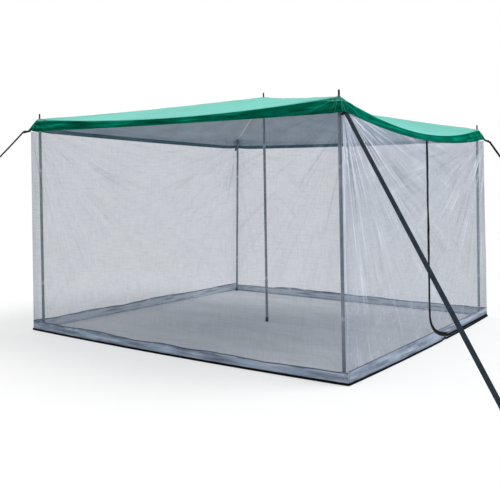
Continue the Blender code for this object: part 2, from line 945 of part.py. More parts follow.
def zip_pull(middle, leg_out):
    # The pull hangs round the bail's bar, in front of the slider's front plate
    tilt = Matrix.Rotation(door_tilt(), 4, "Y")
    bar_out = leg_out - bail_thickness / 2
    pivot = middle + tilt @ Vector((bar_out, 0, 0))
    ring = bail_thickness / 2 + pull_clearance
    wide = pull_width / 2 - pull_clearance
    rim = ring + pull_thickness / 2
    arc = []
    for k in range(pull_arc_steps + 1):
        turn = math.radians(180) * k / pull_arc_steps
        arc.append((rim * math.cos(turn), rim * math.sin(turn)))
    half_thick = pull_thickness / 2
    bm = bmesh.new()
    # The side view: an eye over the bar, drawn in to a flat tongue below it
    outside = [(half_thick, -pull_length), (half_thick, -rim), *arc]
    outside += [(-half_thick, -rim), (-half_thick, -pull_length)]
    rings = []
    for y in (-wide, wide):
        rings.append([bm.verts.new((x, y, z)) for x, z in outside])
    bm.faces.new(rings[0])
    bm.faces.new(rings[1][::-1])
    for k in range(len(outside)):
        n = (k + 1) % len(outside)
        bm.faces.new((rings[0][n], rings[0][k], rings[1][k], rings[1][n]))
    bmesh.ops.recalc_face_normals(bm, faces=bm.faces)
    made = add_object("zip_pull", bm, "zip_metal")
    made.location = pivot
    bore_mesh = bmesh.new()
    bmesh.ops.create_cone(
        bore_mesh,
        cap_ends=True,
        segments=round_sides,
        radius1=ring,
        radius2=ring,
        depth=2 * pull_width,
        matrix=Matrix.Rotation(math.radians(90), 4, "X"),
    )
    bore = add_object("pull_bore_cutter", bore_mesh, None)
    bore.location = pivot
    cut(made, bore)
    return pivot


# Guys


def corner_tip(corner):
    side = next(key for key, ends in sides.items() if ends[0] == corner)
    return hem_point(side, -1)


def corner_tab(corner):
    # Doubled webbing sewn flat under the canopy's corner
    outward = corner_signs[corner].normalized()
    tip = corner_tip(corner) - up * (seat_gap + tab_thickness / 2)
    path = [tip - outward * tab_inside_length, tip + outward * tab_outside_length]
    across = up.cross(outward)
    ribbon("corner_tab_" + corner, path, across, webbing_width, tab_thickness, "webbing")
    return path[-1]


def guy_strap(corner, root):
    bearing = math.radians(guy_bearings[corner])
    slope = math.radians(guy_slopes[corner])
    level = Vector((math.cos(bearing), math.sin(bearing), 0))
    along = level * math.cos(slope) - up * math.sin(slope)
    across = up.cross(level)
    twist = Matrix.Rotation(math.radians(guy_twists[corner]), 3, along)
    across = twist @ across
    under = across.cross(along)
    if under.z > 0:
        under = -under
    start = root + level * (webbing_thickness / 2 + seat_gap) + along * (webbing_thickness / 2)
    run = guy_lengths[corner]

    def on_run(distance):
        share = distance / run
        return start + along * distance + under * (guy_sag_depth * 4 * share * (1 - share))

    path = [on_run(run * k / guy_steps) for k in range(guy_steps + 1)]
    # The end turns back on itself through a sewn eye and laps under the strap
    lap = webbing_thickness + seat_gap
    middle = path[-1] + under * eye_radius
    turned_far = math.radians(270)
    for k in range(1, eye_steps + 1):
        turn = turned_far * k / eye_steps
        path.append(middle + (along * math.sin(turn) - under * math.cos(turn)) * eye_radius)
    for back in (2 * eye_radius, 2 * eye_radius + eye_lap_length):
        path.append(on_run(run - back) + under * lap)
    return ribbon("guy_strap_" + corner, path, across, webbing_width, webbing_thickness, "webbing")


def main():
    clear_scene()
    groundsheet()
    hem_binding()
    for side in ("front", "left", "back"):
        mudwall("mudwall_" + side, side)
        net_wall("net_" + side, side)
    door_mudwalls()
    door_side_net()
    door_upper_net()
    door_flap_net()
    zip_tapes()
    middle, leg_out = zip_slider()
    pivot = zip_pull(middle, leg_out)
    canopy()
    for corner in corner_signs:
        eyelet(corner, tops[corner])
        ridge_tape(corner)
        pole(corner, feet[corner], tops[corner], tube_radius)
        root = corner_tab(corner)
        if corner in guy_lengths:
            guy_strap(corner, root)
    eyelet("centre", peak)
    pole("centre", Vector((centre_foot_offset, 0, 0)), peak, slim_tube_radius)
    print_axes(pivot)


def print_axes(pivot):
    # Where the flap folds, which way the zip's slider runs, and what its pull swings on
    out = cloth_thickness / 2 + door_hinge_rise_height
    high = door_point(hinge_high.x, hinge_high.y, out)
    low = door_point(hinge_low.x, hinge_low.y, out)
    bend_top = zip_low_height + zip_bend_height
    start = zip_top - slider_stop_gap - slider_length / 2
    run = door_point(zip_corner_distance, bend_top + slider_length / 2)
    run -= door_point(zip_corner_distance, start)
    print("AXES", ",".join(f"{c:.6f}" for c in high), ",".join(f"{c:.6f}" for c in low), end=" ")
    print(",".join(f"{c:.6f}" for c in (high - low).normalized()), end=" ")
    print(",".join(f"{c:.6f}" for c in pivot), end=" ")
    print(",".join(f"{c:.6f}" for c in run.normalized()), f"{run.length:.4f}")


main()
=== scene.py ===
import math

import bmesh
import bpy
from mathutils import Matrix, Vector, noise


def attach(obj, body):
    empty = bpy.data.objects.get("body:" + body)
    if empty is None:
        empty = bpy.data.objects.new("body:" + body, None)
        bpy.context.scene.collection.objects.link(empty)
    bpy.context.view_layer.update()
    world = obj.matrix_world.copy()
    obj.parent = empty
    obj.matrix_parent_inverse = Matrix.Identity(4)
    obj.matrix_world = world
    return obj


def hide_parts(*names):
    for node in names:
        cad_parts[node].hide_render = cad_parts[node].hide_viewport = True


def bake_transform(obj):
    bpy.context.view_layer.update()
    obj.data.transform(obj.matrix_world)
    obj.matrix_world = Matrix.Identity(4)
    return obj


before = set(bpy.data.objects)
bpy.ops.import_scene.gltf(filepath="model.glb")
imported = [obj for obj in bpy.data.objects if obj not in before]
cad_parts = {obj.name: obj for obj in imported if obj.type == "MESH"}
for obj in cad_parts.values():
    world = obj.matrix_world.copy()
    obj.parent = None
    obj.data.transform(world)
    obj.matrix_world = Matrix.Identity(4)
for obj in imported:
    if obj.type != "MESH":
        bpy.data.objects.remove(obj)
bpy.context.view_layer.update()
print("frame loaded with", len(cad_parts), "nodes")

# Camera: where the photographer stood, with the lens for a square picture of 500 pixels

cameraValues = {
    "place": (3.559, -5.637, 1.273), "yaw": -34.278, "pitch": 4.961, "roll": 0.354,
    "focalPixels": 706.64, "picturePixels": 500, "sensor": 36,
}


def addCamera():
    values = cameraValues
    yaw, pitch, roll = (math.radians(values[key]) for key in ("yaw", "pitch", "roll"))
    ahead = Vector((math.sin(yaw) * math.cos(pitch), math.cos(yaw) * math.cos(pitch), -math.sin(pitch)))
    right = Vector((math.cos(yaw), -math.sin(yaw), 0))
    top = right.cross(ahead)
    across = right * math.cos(roll) + top * math.sin(roll)
    upward = top * math.cos(roll) - right * math.sin(roll)
    camera = bpy.data.objects.new("photoCamera", bpy.data.cameras.new("photoCamera"))
    camera.data.sensor_width = values["sensor"]
    camera.data.lens = values["sensor"] * values["focalPixels"] / values["picturePixels"]
    turn = Matrix((across, upward, -ahead)).transposed().to_4x4()
    camera.matrix_world = Matrix.Translation(values["place"]) @ turn
    bpy.context.scene.collection.objects.link(camera)
    bpy.context.scene.camera = camera


addCamera()
print("camera placed")

# The tent's own sizes, in metres, as in the part's source

tent = {
    "footSpacing": 3.0, "doorSideLean": 0.075, "farPoleLean": 0.03, "eaveHeight": 1.871, "peakRise": 0.258,
    "centreFoot": -0.08, "centreTop": -0.14, "valanceDrop": 0.114, "netReach": 0.055, "tipReach": 0.085,
    "sheetOverhang": 0.065, "bandHeight": 0.095, "hemLevelShare": 0.08,
    "hemSag": {"front": 0.007, "door": 0.087, "back": 0.008, "left": 0.006},
    "footBow": {"front": 0.045, "door": 0.03, "back": 0.015, "left": 0.015},
    "footBowHeight": {"front": 1.757, "door": 0.11, "back": 1.757, "left": 1.757},
}
clothDepth = 0.003
seatGap = 0.0003
half = tent["footSpacing"] / 2
up = Vector((0, 0, 1))
corners = (("front_left", -1, -1), ("front_right", 1, -1), ("back_right", 1, 1), ("back_left", -1, 1))
cornerSigns = {name: Vector((x, y, 0)) for name, x, y in corners}
sides = {
    "front": ("front_left", "front_right"), "door": ("front_right", "back_right"),
    "back": ("back_right", "back_left"), "left": ("back_left", "front_left"),
}
outwards = {
    "front": Vector((0, -1, 0)), "door": Vector((1, 0, 0)),
    "back": Vector((0, 1, 0)), "left": Vector((-1, 0, 0)),
}
leans = {
    "front_left": Vector((0, 0, 0)), "front_right": Vector((tent["doorSideLean"], 0, 0)),
    "back_right": Vector((tent["doorSideLean"], tent["farPoleLean"], 0)), "back_left": Vector((0, 0, 0)),
}
hemLevel = tent["eaveHeight"] - tent["valanceDrop"]
feet = {name: sign * half for name, sign in cornerSigns.items()}
tops = {name: feet[name] - leans[name] + up * tent["eaveHeight"] for name in feet}
peak = Vector((tent["centreTop"], 0, tent["eaveHeight"] + tent["peakRise"]))
poleTops = [*tops.values(), peak]
sheetHalf = half + tent["sheetOverhang"]
wallHalf = sheetHalf - clothDepth
wallWidth = 2 * wallHalf
wallFeet = {name: sign * wallHalf for name, sign in cornerSigns.items()}
wallHeads = {
    name: tops[name] + sign * tent["netReach"] - up * tent["valanceDrop"]
    for name, sign in cornerSigns.items()
}
sheetTop = clothDepth + seatGap
cornerGap = clothDepth / 2 + seatGap


def bow(place, levelShare):
    near = min(1, abs(place) / (1 - levelShare))
    return 1 - near**2


def footBow(side, share, height):
    # The cloth's foot stands further out between the corners than at them
    fade = max(0, 1 - height / tent["footBowHeight"][side]) ** 2
    return tent["footBow"][side] * max(0, bow(2 * share - 1, 0.0)) * fade


def wallPoint(side, share, height):
    first, second = sides[side]
    low = wallFeet[first].lerp(wallFeet[second], share)
    high = wallHeads[first].lerp(wallHeads[second], share)
    return low.lerp(high, height / hemLevel) + outwards[side] * footBow(side, share, height)


def sideLength(side):
    first, second = sides[side]
    return (wallHeads[second] - wallHeads[first]).length


def hemHeight(side, share):
    return hemLevel - tent["hemSag"][side] * bow(2 * share - 1, tent["hemLevelShare"])


def smooth(value):
    value = min(1, max(0, value))
    return value * value * (3 - 2 * value)


def wave(x, y, z):
    return noise.noise(Vector((x, y, z)))


# Node helpers, for shaders and for geometry: all add to the tree that was begun last

current = {}


class nodeValue:
    # A node's output that takes part in sums, so that a formula made of nodes reads as one
    def __init__(self, socket):
        self.socket = socket

    def __add__(self, other):
        return calc("ADD", self, other)

    def __radd__(self, other):
        return calc("ADD", other, self)

    def __sub__(self, other):
        return calc("SUBTRACT", self, other)

    def __rsub__(self, other):
        return calc("SUBTRACT", other, self)

    def __mul__(self, other):
        return calc("MULTIPLY", self, other)

    def __truediv__(self, other):
        return calc("DIVIDE", self, other)

    def __rtruediv__(self, other):
        return calc("DIVIDE", other, self)

    def __neg__(self):
        return self * -1.0

    def __abs__(self):
        return calc("ABSOLUTE", self)


def wire(value, socket):
    if isinstance(value, nodeValue):
        current["tree"].links.new(value.socket, socket)
    else:
        socket.default_value = value


def addNode(kind, inputs=(), **settings):
    node = current["tree"].nodes.new(kind)
    for key, value in settings.items():
        setattr(node, key, value)
    for key, value in dict(inputs).items():
        wire(value, node.inputs[key])
    return node


def valueOf(kind, inputs=(), output=0, **settings):
    return nodeValue(addNode(kind, inputs, **settings).outputs[output])


def calc(operation, *values):
    return valueOf("ShaderNodeMath", enumerate(values), operation=operation)


def vectorCalc(operation, *values):
    inputs = {("Scale" if operation == "SCALE" and k == 1 else k): v for k, v in enumerate(values)}
    output = "Value" if operation == "LENGTH" else 0
    return valueOf("ShaderNodeVectorMath", inputs, output, operation=operation)


def remap(value, low, high, newLow=0.0, newHigh=1.0):
    inputs = {"Value": value, 1: low, 2: high, 3: newLow, 4: newHigh}
    return valueOf("ShaderNodeMapRange", inputs, interpolation_type="SMOOTHSTEP")


def fadeOver(distance, reach):
    return calc("EXPONENT", -distance / reach)


def separate(vector):
    return [nodeValue(one) for one in addNode("ShaderNodeSeparateXYZ", {0: vector}).outputs]


def combine(x, y, z):
    return valueOf("ShaderNodeCombineXYZ", {0: x, 1: y, 2: z})


def noiseAt(place, rate, detail):
    return valueOf("ShaderNodeTexNoise", {"Vector": place, "Scale": rate, "Detail": detail})


def readMark(name, output="Fac"):
    return valueOf("ShaderNodeAttribute", (), output, attribute_name=name)


def linear(red, green, blue):
    # A colour written in 0 to 255, as a picture stores it, turned into the shader's own values
    parts = [c / 255 for c in (red, green, blue)]
    parts = [c / 12.92 if c <= 0.04045 else ((c + 0.055) / 1.055) ** 2.4 for c in parts]
    return (*parts, 1)


def mixColour(share, first, second):
    first, second = (linear(*one) if isinstance(one, tuple) else one for one in (first, second))
    return valueOf("ShaderNodeMix", {0: share, 6: first, 7: second}, 2, data_type="RGBA")


def newGroup(name, kind, inputs, outputs):
    # Each socket has its kind's name, or the number that it starts from
    tree = current["tree"] = bpy.data.node_groups.new(name, kind)
    for way, sockets in (("INPUT", inputs), ("OUTPUT", outputs)):
        for label, value in sockets.items():
            socketKind = value if isinstance(value, str) else "Int" if isinstance(value, int) else "Float"
            made = tree.interface.new_socket(label, in_out=way, socket_type="NodeSocket" + socketKind)
            if not isinstance(value, str):
                made.default_value = value
    given = {one.name: nodeValue(one) for one in tree.nodes.new("NodeGroupInput").outputs}
    return tree, given, tree.nodes.new("NodeGroupOutput").inputs


def useGroup(group, inputs):
    node = addNode("ShaderNodeGroup", inputs, node_tree=group)
    return {one.name: nodeValue(one) for one in node.outputs}


# Shader groups that several cloths and metals share


def makeWeaveGroup():
    inputs, outputs = {"Place": "Vector", "Threads per metre": 900.0}, {"Height": "Float", "Thread": "Float"}
    tree, given, made = newGroup("fineWeave", "ShaderNodeTree", inputs, outputs)
    parts = separate(vectorCalc("SCALE", given["Place"], given["Threads per metre"]))
    warp, weft = (abs(calc("SINE", part * math.pi)) for part in parts[:2])
    wire((warp + weft) * 0.5, made["Height"])
    wire(1.0 - calc("MINIMUM", warp, weft), made["Thread"])
    return tree


def makeDriftGroup():
    # Slow and fine changes of tone over a surface, both about 0.5
    inputs = {"Place": "Vector", "Size": 0.2, "Stretch": 1.0}
    tree, given, made = newGroup("toneDrift", "ShaderNodeTree", inputs, {"Broad": "Float", "Fine": "Float"})
    place = vectorCalc("MULTIPLY", given["Place"], combine(given["Stretch"], 1.0, 1.0))
    rate = 1.0 / given["Size"]
    wire(noiseAt(place, rate, 3.0), made["Broad"])
    wire(noiseAt(place, rate * 9.0, 2.0), made["Fine"])
    return tree


def makeRayGroup():
    # Thin creases that run out from one point of a cloth, as masks: the light ones for painted highlights and
    # the dark ones for painted shade
    inputs = {"Place": "Vector", "Centre": "Vector", "Rays": 9.0, "Reach": 1.0}
    tree, given, made = newGroup("rayCreases", "ShaderNodeTree", inputs, {"Light": "Float", "Dark": "Float"})
    away = vectorCalc("SUBTRACT", given["Place"], given["Centre"])
    x, y, layer = separate(away)
    distance = vectorCalc("LENGTH", vectorCalc("MULTIPLY", away, (1.0, 1.0, 0.0)))
    turn = calc("ARCTAN2", y, x) * given["Rays"]
    streak = noiseAt(combine(turn, distance * 1.3, given["Rays"] + layer), 1.0, 3.0)
    fade = fadeOver(distance, given["Reach"])
    for label, low, high in (("Light", 0.54, 0.72), ("Dark", 0.46, 0.3)):
        wire(remap(streak, low, high) * fade, made[label])
    return tree


weaveGroup, driftGroup, rayGroup = makeWeaveGroup(), makeDriftGroup(), makeRayGroup()


def newMaterial(name, roughness, metallic=0.0, specular=0.2):
    material = bpy.data.materials.new(name)
    material.use_nodes = True
    current["tree"] = material.node_tree
    sockets = material.node_tree.nodes["Principled BSDF"].inputs
    for key, value in (("Roughness", roughness), ("Metallic", metallic), ("Specular IOR Level", specular)):
        sockets[key].default_value = value
    return material, sockets


def objectPlace():
    return valueOf("ShaderNodeTexCoord", (), "Object")


def uvPlace():
    return valueOf("ShaderNodeUVMap", uv_map="clothMap")


def bump(sockets, height, distance, below=None):
    inputs = {"Strength": 1.0, "Distance": distance, "Height": height}
    if below:
        inputs["Normal"] = below
    normal = valueOf("ShaderNodeBump", inputs)
    wire(normal, sockets["Normal"])
    return normal


def clothMaterial(name, look):
    # Woven cloth: two tones that drift, threads and small creases as bumps
    material, sockets = newMaterial(name, look["roughness"], specular=look["specular"])
    place = uvPlace()
    drift = useGroup(driftGroup, {"Place": place, "Size": look["driftSize"], "Stretch": look["stretch"]})
    weave = useGroup(weaveGroup, {"Place": place, "Threads per metre": look["threads"]})
    colour = mixColour(remap(drift["Broad"], 0.3, 0.7), look["dark"], look["light"])
    thread = remap(weave["Thread"], 0.3, 1.0) * look["threadTone"]
    colour = mixColour(thread, colour, look["threadColour"])
    wire(colour, sockets["Base Color"])
    low, high = look["roughness"] - look["roughSpread"], look["roughness"] + look["roughSpread"]
    wire(remap(drift["Fine"], 0.3, 0.7, low, high), sockets["Roughness"])
    normal = bump(sockets, drift["Broad"], look["creaseDepth"])
    normal = bump(sockets, drift["Fine"], look["puckerDepth"], normal)
    bump(sockets, weave["Height"], look["threadDepth"], normal)
    return material, sockets, colour


def hardMaterial(name, look):
    # Metal or plastic: two tones, its polish a little uneven
    material, sockets = newMaterial(name, look["roughness"], look["metallic"], look["specular"])
    drift = useGroup(driftGroup, {"Place": objectPlace(), "Size": look["driftSize"]})
    share = remap(drift["Fine"], *look["toneSpan"])
    wire(mixColour(share, look["dark"], look["light"]), sockets["Base Color"])
    wire(remap(drift["Broad"], 0.3, 0.7, *look["roughSpan"]), sockets["Roughness"])
    if look["bumpDepth"]:
        bump(sockets, drift["Fine"], look["bumpDepth"])
    return material


# Mesh helpers


def addObject(name, mesh):
    made = bpy.data.objects.new(name, mesh)
    bpy.context.scene.collection.objects.link(made)
    return made


def addPiece(name, points, faces, material):
    mesh = bpy.data.meshes.new(name)
    mesh.from_pydata(points, [], faces)
    mesh.validate()
    mesh.shade_smooth()
    for one in material if isinstance(material, tuple) else (material,):
        mesh.materials.append(one)
    made = addObject(name, mesh)
    return made


def addGrid(name, rows, places, material, loops=False, caps=False):
    # Rows of points with their place on the flat cloth, kept as the piece's UV map in metres
    columns, last = len(rows[0]), len(rows) - 1
    faces = []
    for row in range(last):
        for k in range(columns if loops else columns - 1):
            n, low, high = (k + 1) % columns, row * columns, (row + 1) * columns
            faces.append((low + k, low + n, high + n, high + k))
    if caps:
        faces += [tuple(range(columns))[::-1], tuple(range(last * columns, (last + 1) * columns))]
    made = addPiece(name, [p for row in rows for p in row], faces, material)
    flat = [p for row in places for p in row]
    turnWidth = places[0][-1][0] + (places[0][1][0] - places[0][0][0])
    layer = made.data.uv_layers.new(name="clothMap")
    for polygon in made.data.polygons:
        spots = [v % columns for v in polygon.vertices]
        wraps = loops and max(spots) - min(spots) > 1
        for loop, vertex in zip(polygon.loop_indices, polygon.vertices):
            u, v = flat[vertex]
            layer.data[loop].uv = (u + turnWidth if wraps and vertex % columns == 0 else u, v)
    return made


def mark(piece, name, values, kind="FLOAT"):
    kept = piece.data.attributes.new(name, kind, "POINT")
    if kind == "FLOAT":
        kept.data.foreach_set("value", values)
    else:
        kept.data.foreach_set("vector", [c for value in values for c in value])


def thicken(piece, thickness, offset=-1.0, inside=0):
    solid = piece.modifiers.new("thickness", "SOLIDIFY")
    solid.thickness = thickness
    solid.offset = offset
    solid.material_offset = inside
    return piece


def closeUp(piece, weld=0.0):
    # All faces look outward, and points that meet at a seam become one
    bm = bmesh.new()
    bm.from_mesh(piece.data)
    if weld:
        bmesh.ops.remove_doubles(bm, verts=bm.verts, dist=weld)
    bmesh.ops.recalc_face_normals(bm, faces=bm.faces)
    bm.to_mesh(piece.data)
    bm.free()
    return piece


def settle(piece, *nodes, body="root"):
    if nodes:
        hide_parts(*nodes)
    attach(piece, body)
    return piece


def runsAlong(points):
    # The distance of each point along its line
    runs = [0]
    for before, after in zip(points, points[1:]):
        runs.append(runs[-1] + (after - before).length)
    return runs


def wayAt(points, k):
    return (points[min(k + 1, len(points) - 1)] - points[max(k - 1, 0)]).normalized()


wearReach = 0.012


def turned(name, profile, foot, head, material, slot, count=24, ends=()):
    # Profile points are (radius, height), up the outside and back down the inside or the axis
    points, faces, rings, levels = [], [], [], []
    turn = (head - foot).to_track_quat("Z", "Y").to_matrix()
    for radius, height in profile:
        rings.append(list(range(len(points), len(points) + (count if radius else 1))))
        for k in range(count if radius else 1):
            angle = math.tau * k / count
            points.append(foot + turn @ Vector((radius * math.cos(angle), radius * math.sin(angle), height)))
            levels.append(height)
    if profile[0][0]:
        rings.append(rings[0])
    for low, high in zip(rings, rings[1:]):
        for k in range(count):
            n = (k + 1) % count
            ring = [low[k % len(low)], low[n % len(low)], high[n % len(high)], high[k % len(high)]]
            faces.append(list(dict.fromkeys(ring)))
    made = addPiece(name, points, faces, material)
    made.data.set_sharp_from_angle(angle=math.radians(40))
    if ends:
        worn = [max(math.exp(-abs(height - end) / wearReach) for end in ends) for height in levels]
        mark(made, "endMark", worn)
    return made


def strapPiece(name, path, across, width, thickness, cloth, ribs=9, twist=0):
    # Flat webbing along a path, with rounded edges and lengthwise ribs
    outline = []
    for k in range(ribs * 2 + 1):
        share = k / (ribs * 2)
        edge = math.sin(math.pi * share) ** 0.25 if 0 < share < 1 else 0
        outline.append(((share - 0.5) * width, thickness / 2 * edge * (1 if k % 2 else 0.86)))
    outline += [(a, -b) for a, b in reversed(outline[1:-1])]
    rows, places = [], []
    for k, (point, run) in enumerate(zip(path, runsAlong(path))):
        along = wayAt(path, k)
        turn = math.radians(twist) * smooth(k / (len(path) - 1))
        wide = Matrix.Rotation(turn, 3, along) @ across
        rise = wide.cross(along).normalized()
        rows.append([point + wide * a + rise * b for a, b in outline])
        places.append([(a, run) for a, b in outline])
    return closeUp(addGrid(name, rows, places, cloth, loops=True, caps=True))


# Stitches and zip teeth: one small form repeated along a line

stitchShare = {"wide": 0.5, "deep": 0.4}
fineThread = 0.0009
pastEnd = 1000.0


def endTree(geometry, given, made):
    # Instances become real, and everything takes the material that was handed in
    real = valueOf("GeometryNodeRealizeInstances", {0: geometry})
    finished = valueOf("GeometryNodeSetMaterial", {"Geometry": real, "Material": given["Finish"]})
    wire(finished, made["Geometry"])


def makeRunTree(name, shapeInputs, addShape):
    # The form stands square to the face that the line keeps
    inputs = {"Geometry": "Geometry", "Pitch": 0.005, "Start": 0.0, **shapeInputs, "Finish": "Material"}
    tree, given, made = newGroup(name, "GeometryNodeTree", inputs, {"Geometry": "Geometry"})
    line = valueOf("GeometryNodeMeshToCurve", {"Mesh": given["Geometry"]})
    trimmed = addNode("GeometryNodeTrimCurve", {"Curve": line, "Start": given["Start"]}, mode="LENGTH")
    wire(pastEnd, trimmed.inputs["End"])
    even = addNode("GeometryNodeResampleCurve", {"Curve": nodeValue(trimmed.outputs[0])}, mode="LENGTH")
    wire(given["Pitch"], even.inputs["Length"])
    face = valueOf("GeometryNodeInputNamedAttribute", {"Name": "face"}, data_type="FLOAT_VECTOR")
    axes = {"Primary Axis": face, "Secondary Axis": valueOf("GeometryNodeInputTangent")}
    turn = valueOf("FunctionNodeAxesToRotation", axes, primary_axis="Z", secondary_axis="X")
    placed = {"Points": nodeValue(even.outputs[0]), "Instance": addShape(given), "Rotation": turn}
    endTree(valueOf("GeometryNodeInstanceOnPoints", placed), given, made)
    return tree


def stitchShape(given):
    # A short thread, round along its length
    ball = valueOf("GeometryNodeMeshUVSphere", {"Segments": 6, "Rings": 4, "Radius": 1.0})
    thick = given["Thread size"]
    size = combine(given["Stitch length"] * 0.5, thick * stitchShare["wide"], thick * stitchShare["deep"])
    return valueOf("GeometryNodeTransform", {0: ball, "Scale": size})


def toothShape(given):
    # A zip tooth: a block with a rounded head towards the chain's middle
    block = valueOf("GeometryNodeMeshCube", {"Size": (1.0, 1.0, 1.0), "Vertices Y": 3})
    x, y, z = separate(valueOf("GeometryNodeInputPosition"))
    narrow = 1.0 - abs(y) * 0.5
    shaped = combine(x * narrow * given["Tooth width"], y * given["Tooth length"], z * given["Tooth height"])
    return valueOf("GeometryNodeSetPosition", {0: block, "Position": shaped})


stitchTree = makeRunTree("stitchRun", {"Stitch length": 0.0035, "Thread size": 0.0009}, stitchShape)
toothSizes = {"Tooth width": 0.0013, "Tooth length": 0.0024, "Tooth height": 0.0022}
toothTree = makeRunTree("zipTeeth", toothSizes, toothShape)


def applyTree(piece, tree, values):
    # Sets each named input by its socket's identifier, then keeps the result as a plain mesh
    layer = piece.modifiers.new(tree.name, "NODES")
    layer.node_group = tree
    for item in tree.interface.items_tree:
        if item.item_type == "SOCKET" and item.in_out == "INPUT" and item.name in values:
            layer[item.identifier] = values[item.name]
    piece.data.update()
    depsgraph = bpy.context.evaluated_depsgraph_get()
    result = bpy.data.meshes.new_from_object(piece.evaluated_get(depsgraph), depsgraph=depsgraph)
    piece.modifiers.remove(layer)
    old = piece.data
    piece.data = result
    bpy.data.meshes.remove(old)
    return piece


def addRun(name, lines, tree, values, smoothed=True):
    # Each line is a list of (point, face) pairs; all of them become one piece
    points, edges, facing = [], [], []
    for line in lines:
        first = len(points)
        points += [point for point, face in line]
        facing += [face for point, face in line]
        edges += [(k, k + 1) for k in range(first, len(points) - 1)]
    mesh = bpy.data.meshes.new(name)
    mesh.from_pydata(points, edges, [])
    made = addObject(name, mesh)
    mark(made, "face", facing, "FLOAT_VECTOR")
    applyTree(made, tree, values)
    if smoothed:
        made.data.shade_smooth()
    return made


threadLook = {"dark": (10, 12, 14), "light": (34, 38, 42), "driftSize": 0.02}
stitchThread, threadSockets = newMaterial("stitchThread", 0.7, specular=0.1)
threadDrift = useGroup(driftGroup, {"Place": objectPlace(), "Size": threadLook["driftSize"]})
wire(mixColour(threadDrift["Broad"], threadLook["dark"], threadLook["light"]), threadSockets["Base Color"])


def sew(name, lines, slot, pitch, length, thread=fineThread):
    values = {"Pitch": pitch, "Stitch length": length, "Thread size": thread, "Finish": stitchThread}
    return addRun(name, lines, stitchTree, values)


def boxStitch(centre, along, across, face, length, width=0.018):
    # A sewn box with a cross in it
    spots = ((-1, -1), (1, -1), (1, 1), (-1, 1))
    spots = [centre + along * (a * length / 2) + across * (b * width / 2) for a, b in spots]
    order = ((0, 1), (1, 2), (2, 3), (3, 0), (0, 2), (1, 3))
    return [[(spots[a], face), (spots[b], face)] for a, b in order]


# Guy straps of flat webbing, held taut towards pegs outside the picture, each with a sewn eye at its end

strapValues = {
    "width": 0.025, "thickness": 0.002, "sag": 0.004, "runSteps": 36,
    "bearings": {"front_left": 225, "front_right": -39, "back_right": 45},
    "slopes": {"front_left": 47, "front_right": 40.3, "back_right": 49.5},
    "twists": {"front_left": 24, "front_right": 30, "back_right": -24},
    "lengths": {"front_left": 0.41, "front_right": 2.27, "back_right": 0.37},
    "eyeRadius": 0.012, "eyeLap": 0.05, "eyeSteps": 26, "eyeTurn": 270, "lapSteps": 8, "lapBox": 0.036,
    "tabThickness": 0.004, "tabInside": 0.034, "tabOutside": 0.016, "tabBox": 0.026,
    "foldSpan": 1.35, "foldStart": 0.2, "foldDrop": 0.005, "foldThickness": 0.016, "foldRibs": 5,
    "tabSteps": 14, "foldSteps": 8,
    "tabTwists": {"front_left": -58, "front_right": -30, "back_right": 58, "back_left": 0},
    "stitchPitch": 0.0032, "stitchLength": 0.0026,
}
canopyValues = {
    "eaveSag": {"front": 0.063, "door": 0.135, "back": 0.06, "left": 0.055},
    "prowStart": 0.9, "prowCurve": 1.5,
    "prowReach": {"front_left": 0.068, "front_right": 0.0865, "back_right": 0.062, "back_left": 0.063},
    "prowRise": {"front_left": 0.013, "front_right": 0.0, "back_right": 0.019, "back_left": 0.013},
    "fanDepth": {"front_left": 0.011, "front_right": 0.016, "back_right": 0.013, "back_left": 0.009},
    "ridgeSag": 0.012, "flatWidth": 0.014, "foldDrop": 0.004, "prowLength": 0.2,
    "creaseDepth": 0.011, "creasePitch": 0.16, "creaseRun": 0.55, "sideColumns": 40, "roofRings": 34,
    "valanceRows": 12, "thickness": 0.0012, "rayDepth": 0.006, "rayReach": 0.45, "rippleDepth": 0.006,
    "rayHole": 0.004, "rayStart": 0.09,
}


def sideCorner(side, place):
    return sides[side][0 if place < 0 else 1]


def hemPoint(side, place):
    along = up.cross(outwards[side])
    corner = sideCorner(side, place)
    near = max(0, 1 - (1 - abs(place)) * half / canopyValues["prowLength"]) ** canopyValues["prowCurve"]
    pull = (canopyValues["prowReach"][corner] - tent["netReach"]) * near
    share = (place + 1) / 2
    point = wallPoint(side, share, hemHeight(side, share)) + outwards[side] * (pull + clothDepth / 2)
    point += up * canopyValues["prowRise"][corner] * near
    atCorner = smooth((abs(place) - canopyValues["prowStart"]) / 0.1)
    return point + along * math.copysign((pull + clothDepth / 2) * atCorner, place)


def cornerSides(corner):
    before = next(key for key, ends in sides.items() if ends[1] == corner)
    return before, next(key for key, ends in sides.items() if ends[0] == corner)


webbingLook = {
    "dark": (32, 40, 49), "light": (44, 54, 65), "threadColour": (60, 72, 84), "threadTone": 0.35,
    "roughness": 0.72, "roughSpread": 0.1, "driftSize": 0.06, "stretch": 1.0, "specular": 0.08,
    "threads": 700.0, "creaseDepth": 0.0002, "puckerDepth": 0.0002, "threadDepth": 0.0004,
}
webbing = clothMaterial("webbing", webbingLook)[0]
darkWebbingLook = {**webbingLook, "dark": (9, 11, 14), "light": (16, 19, 23), "threadColour": (28, 33, 39)}
darkWebbing = clothMaterial("darkWebbing", darkWebbingLook)[0]


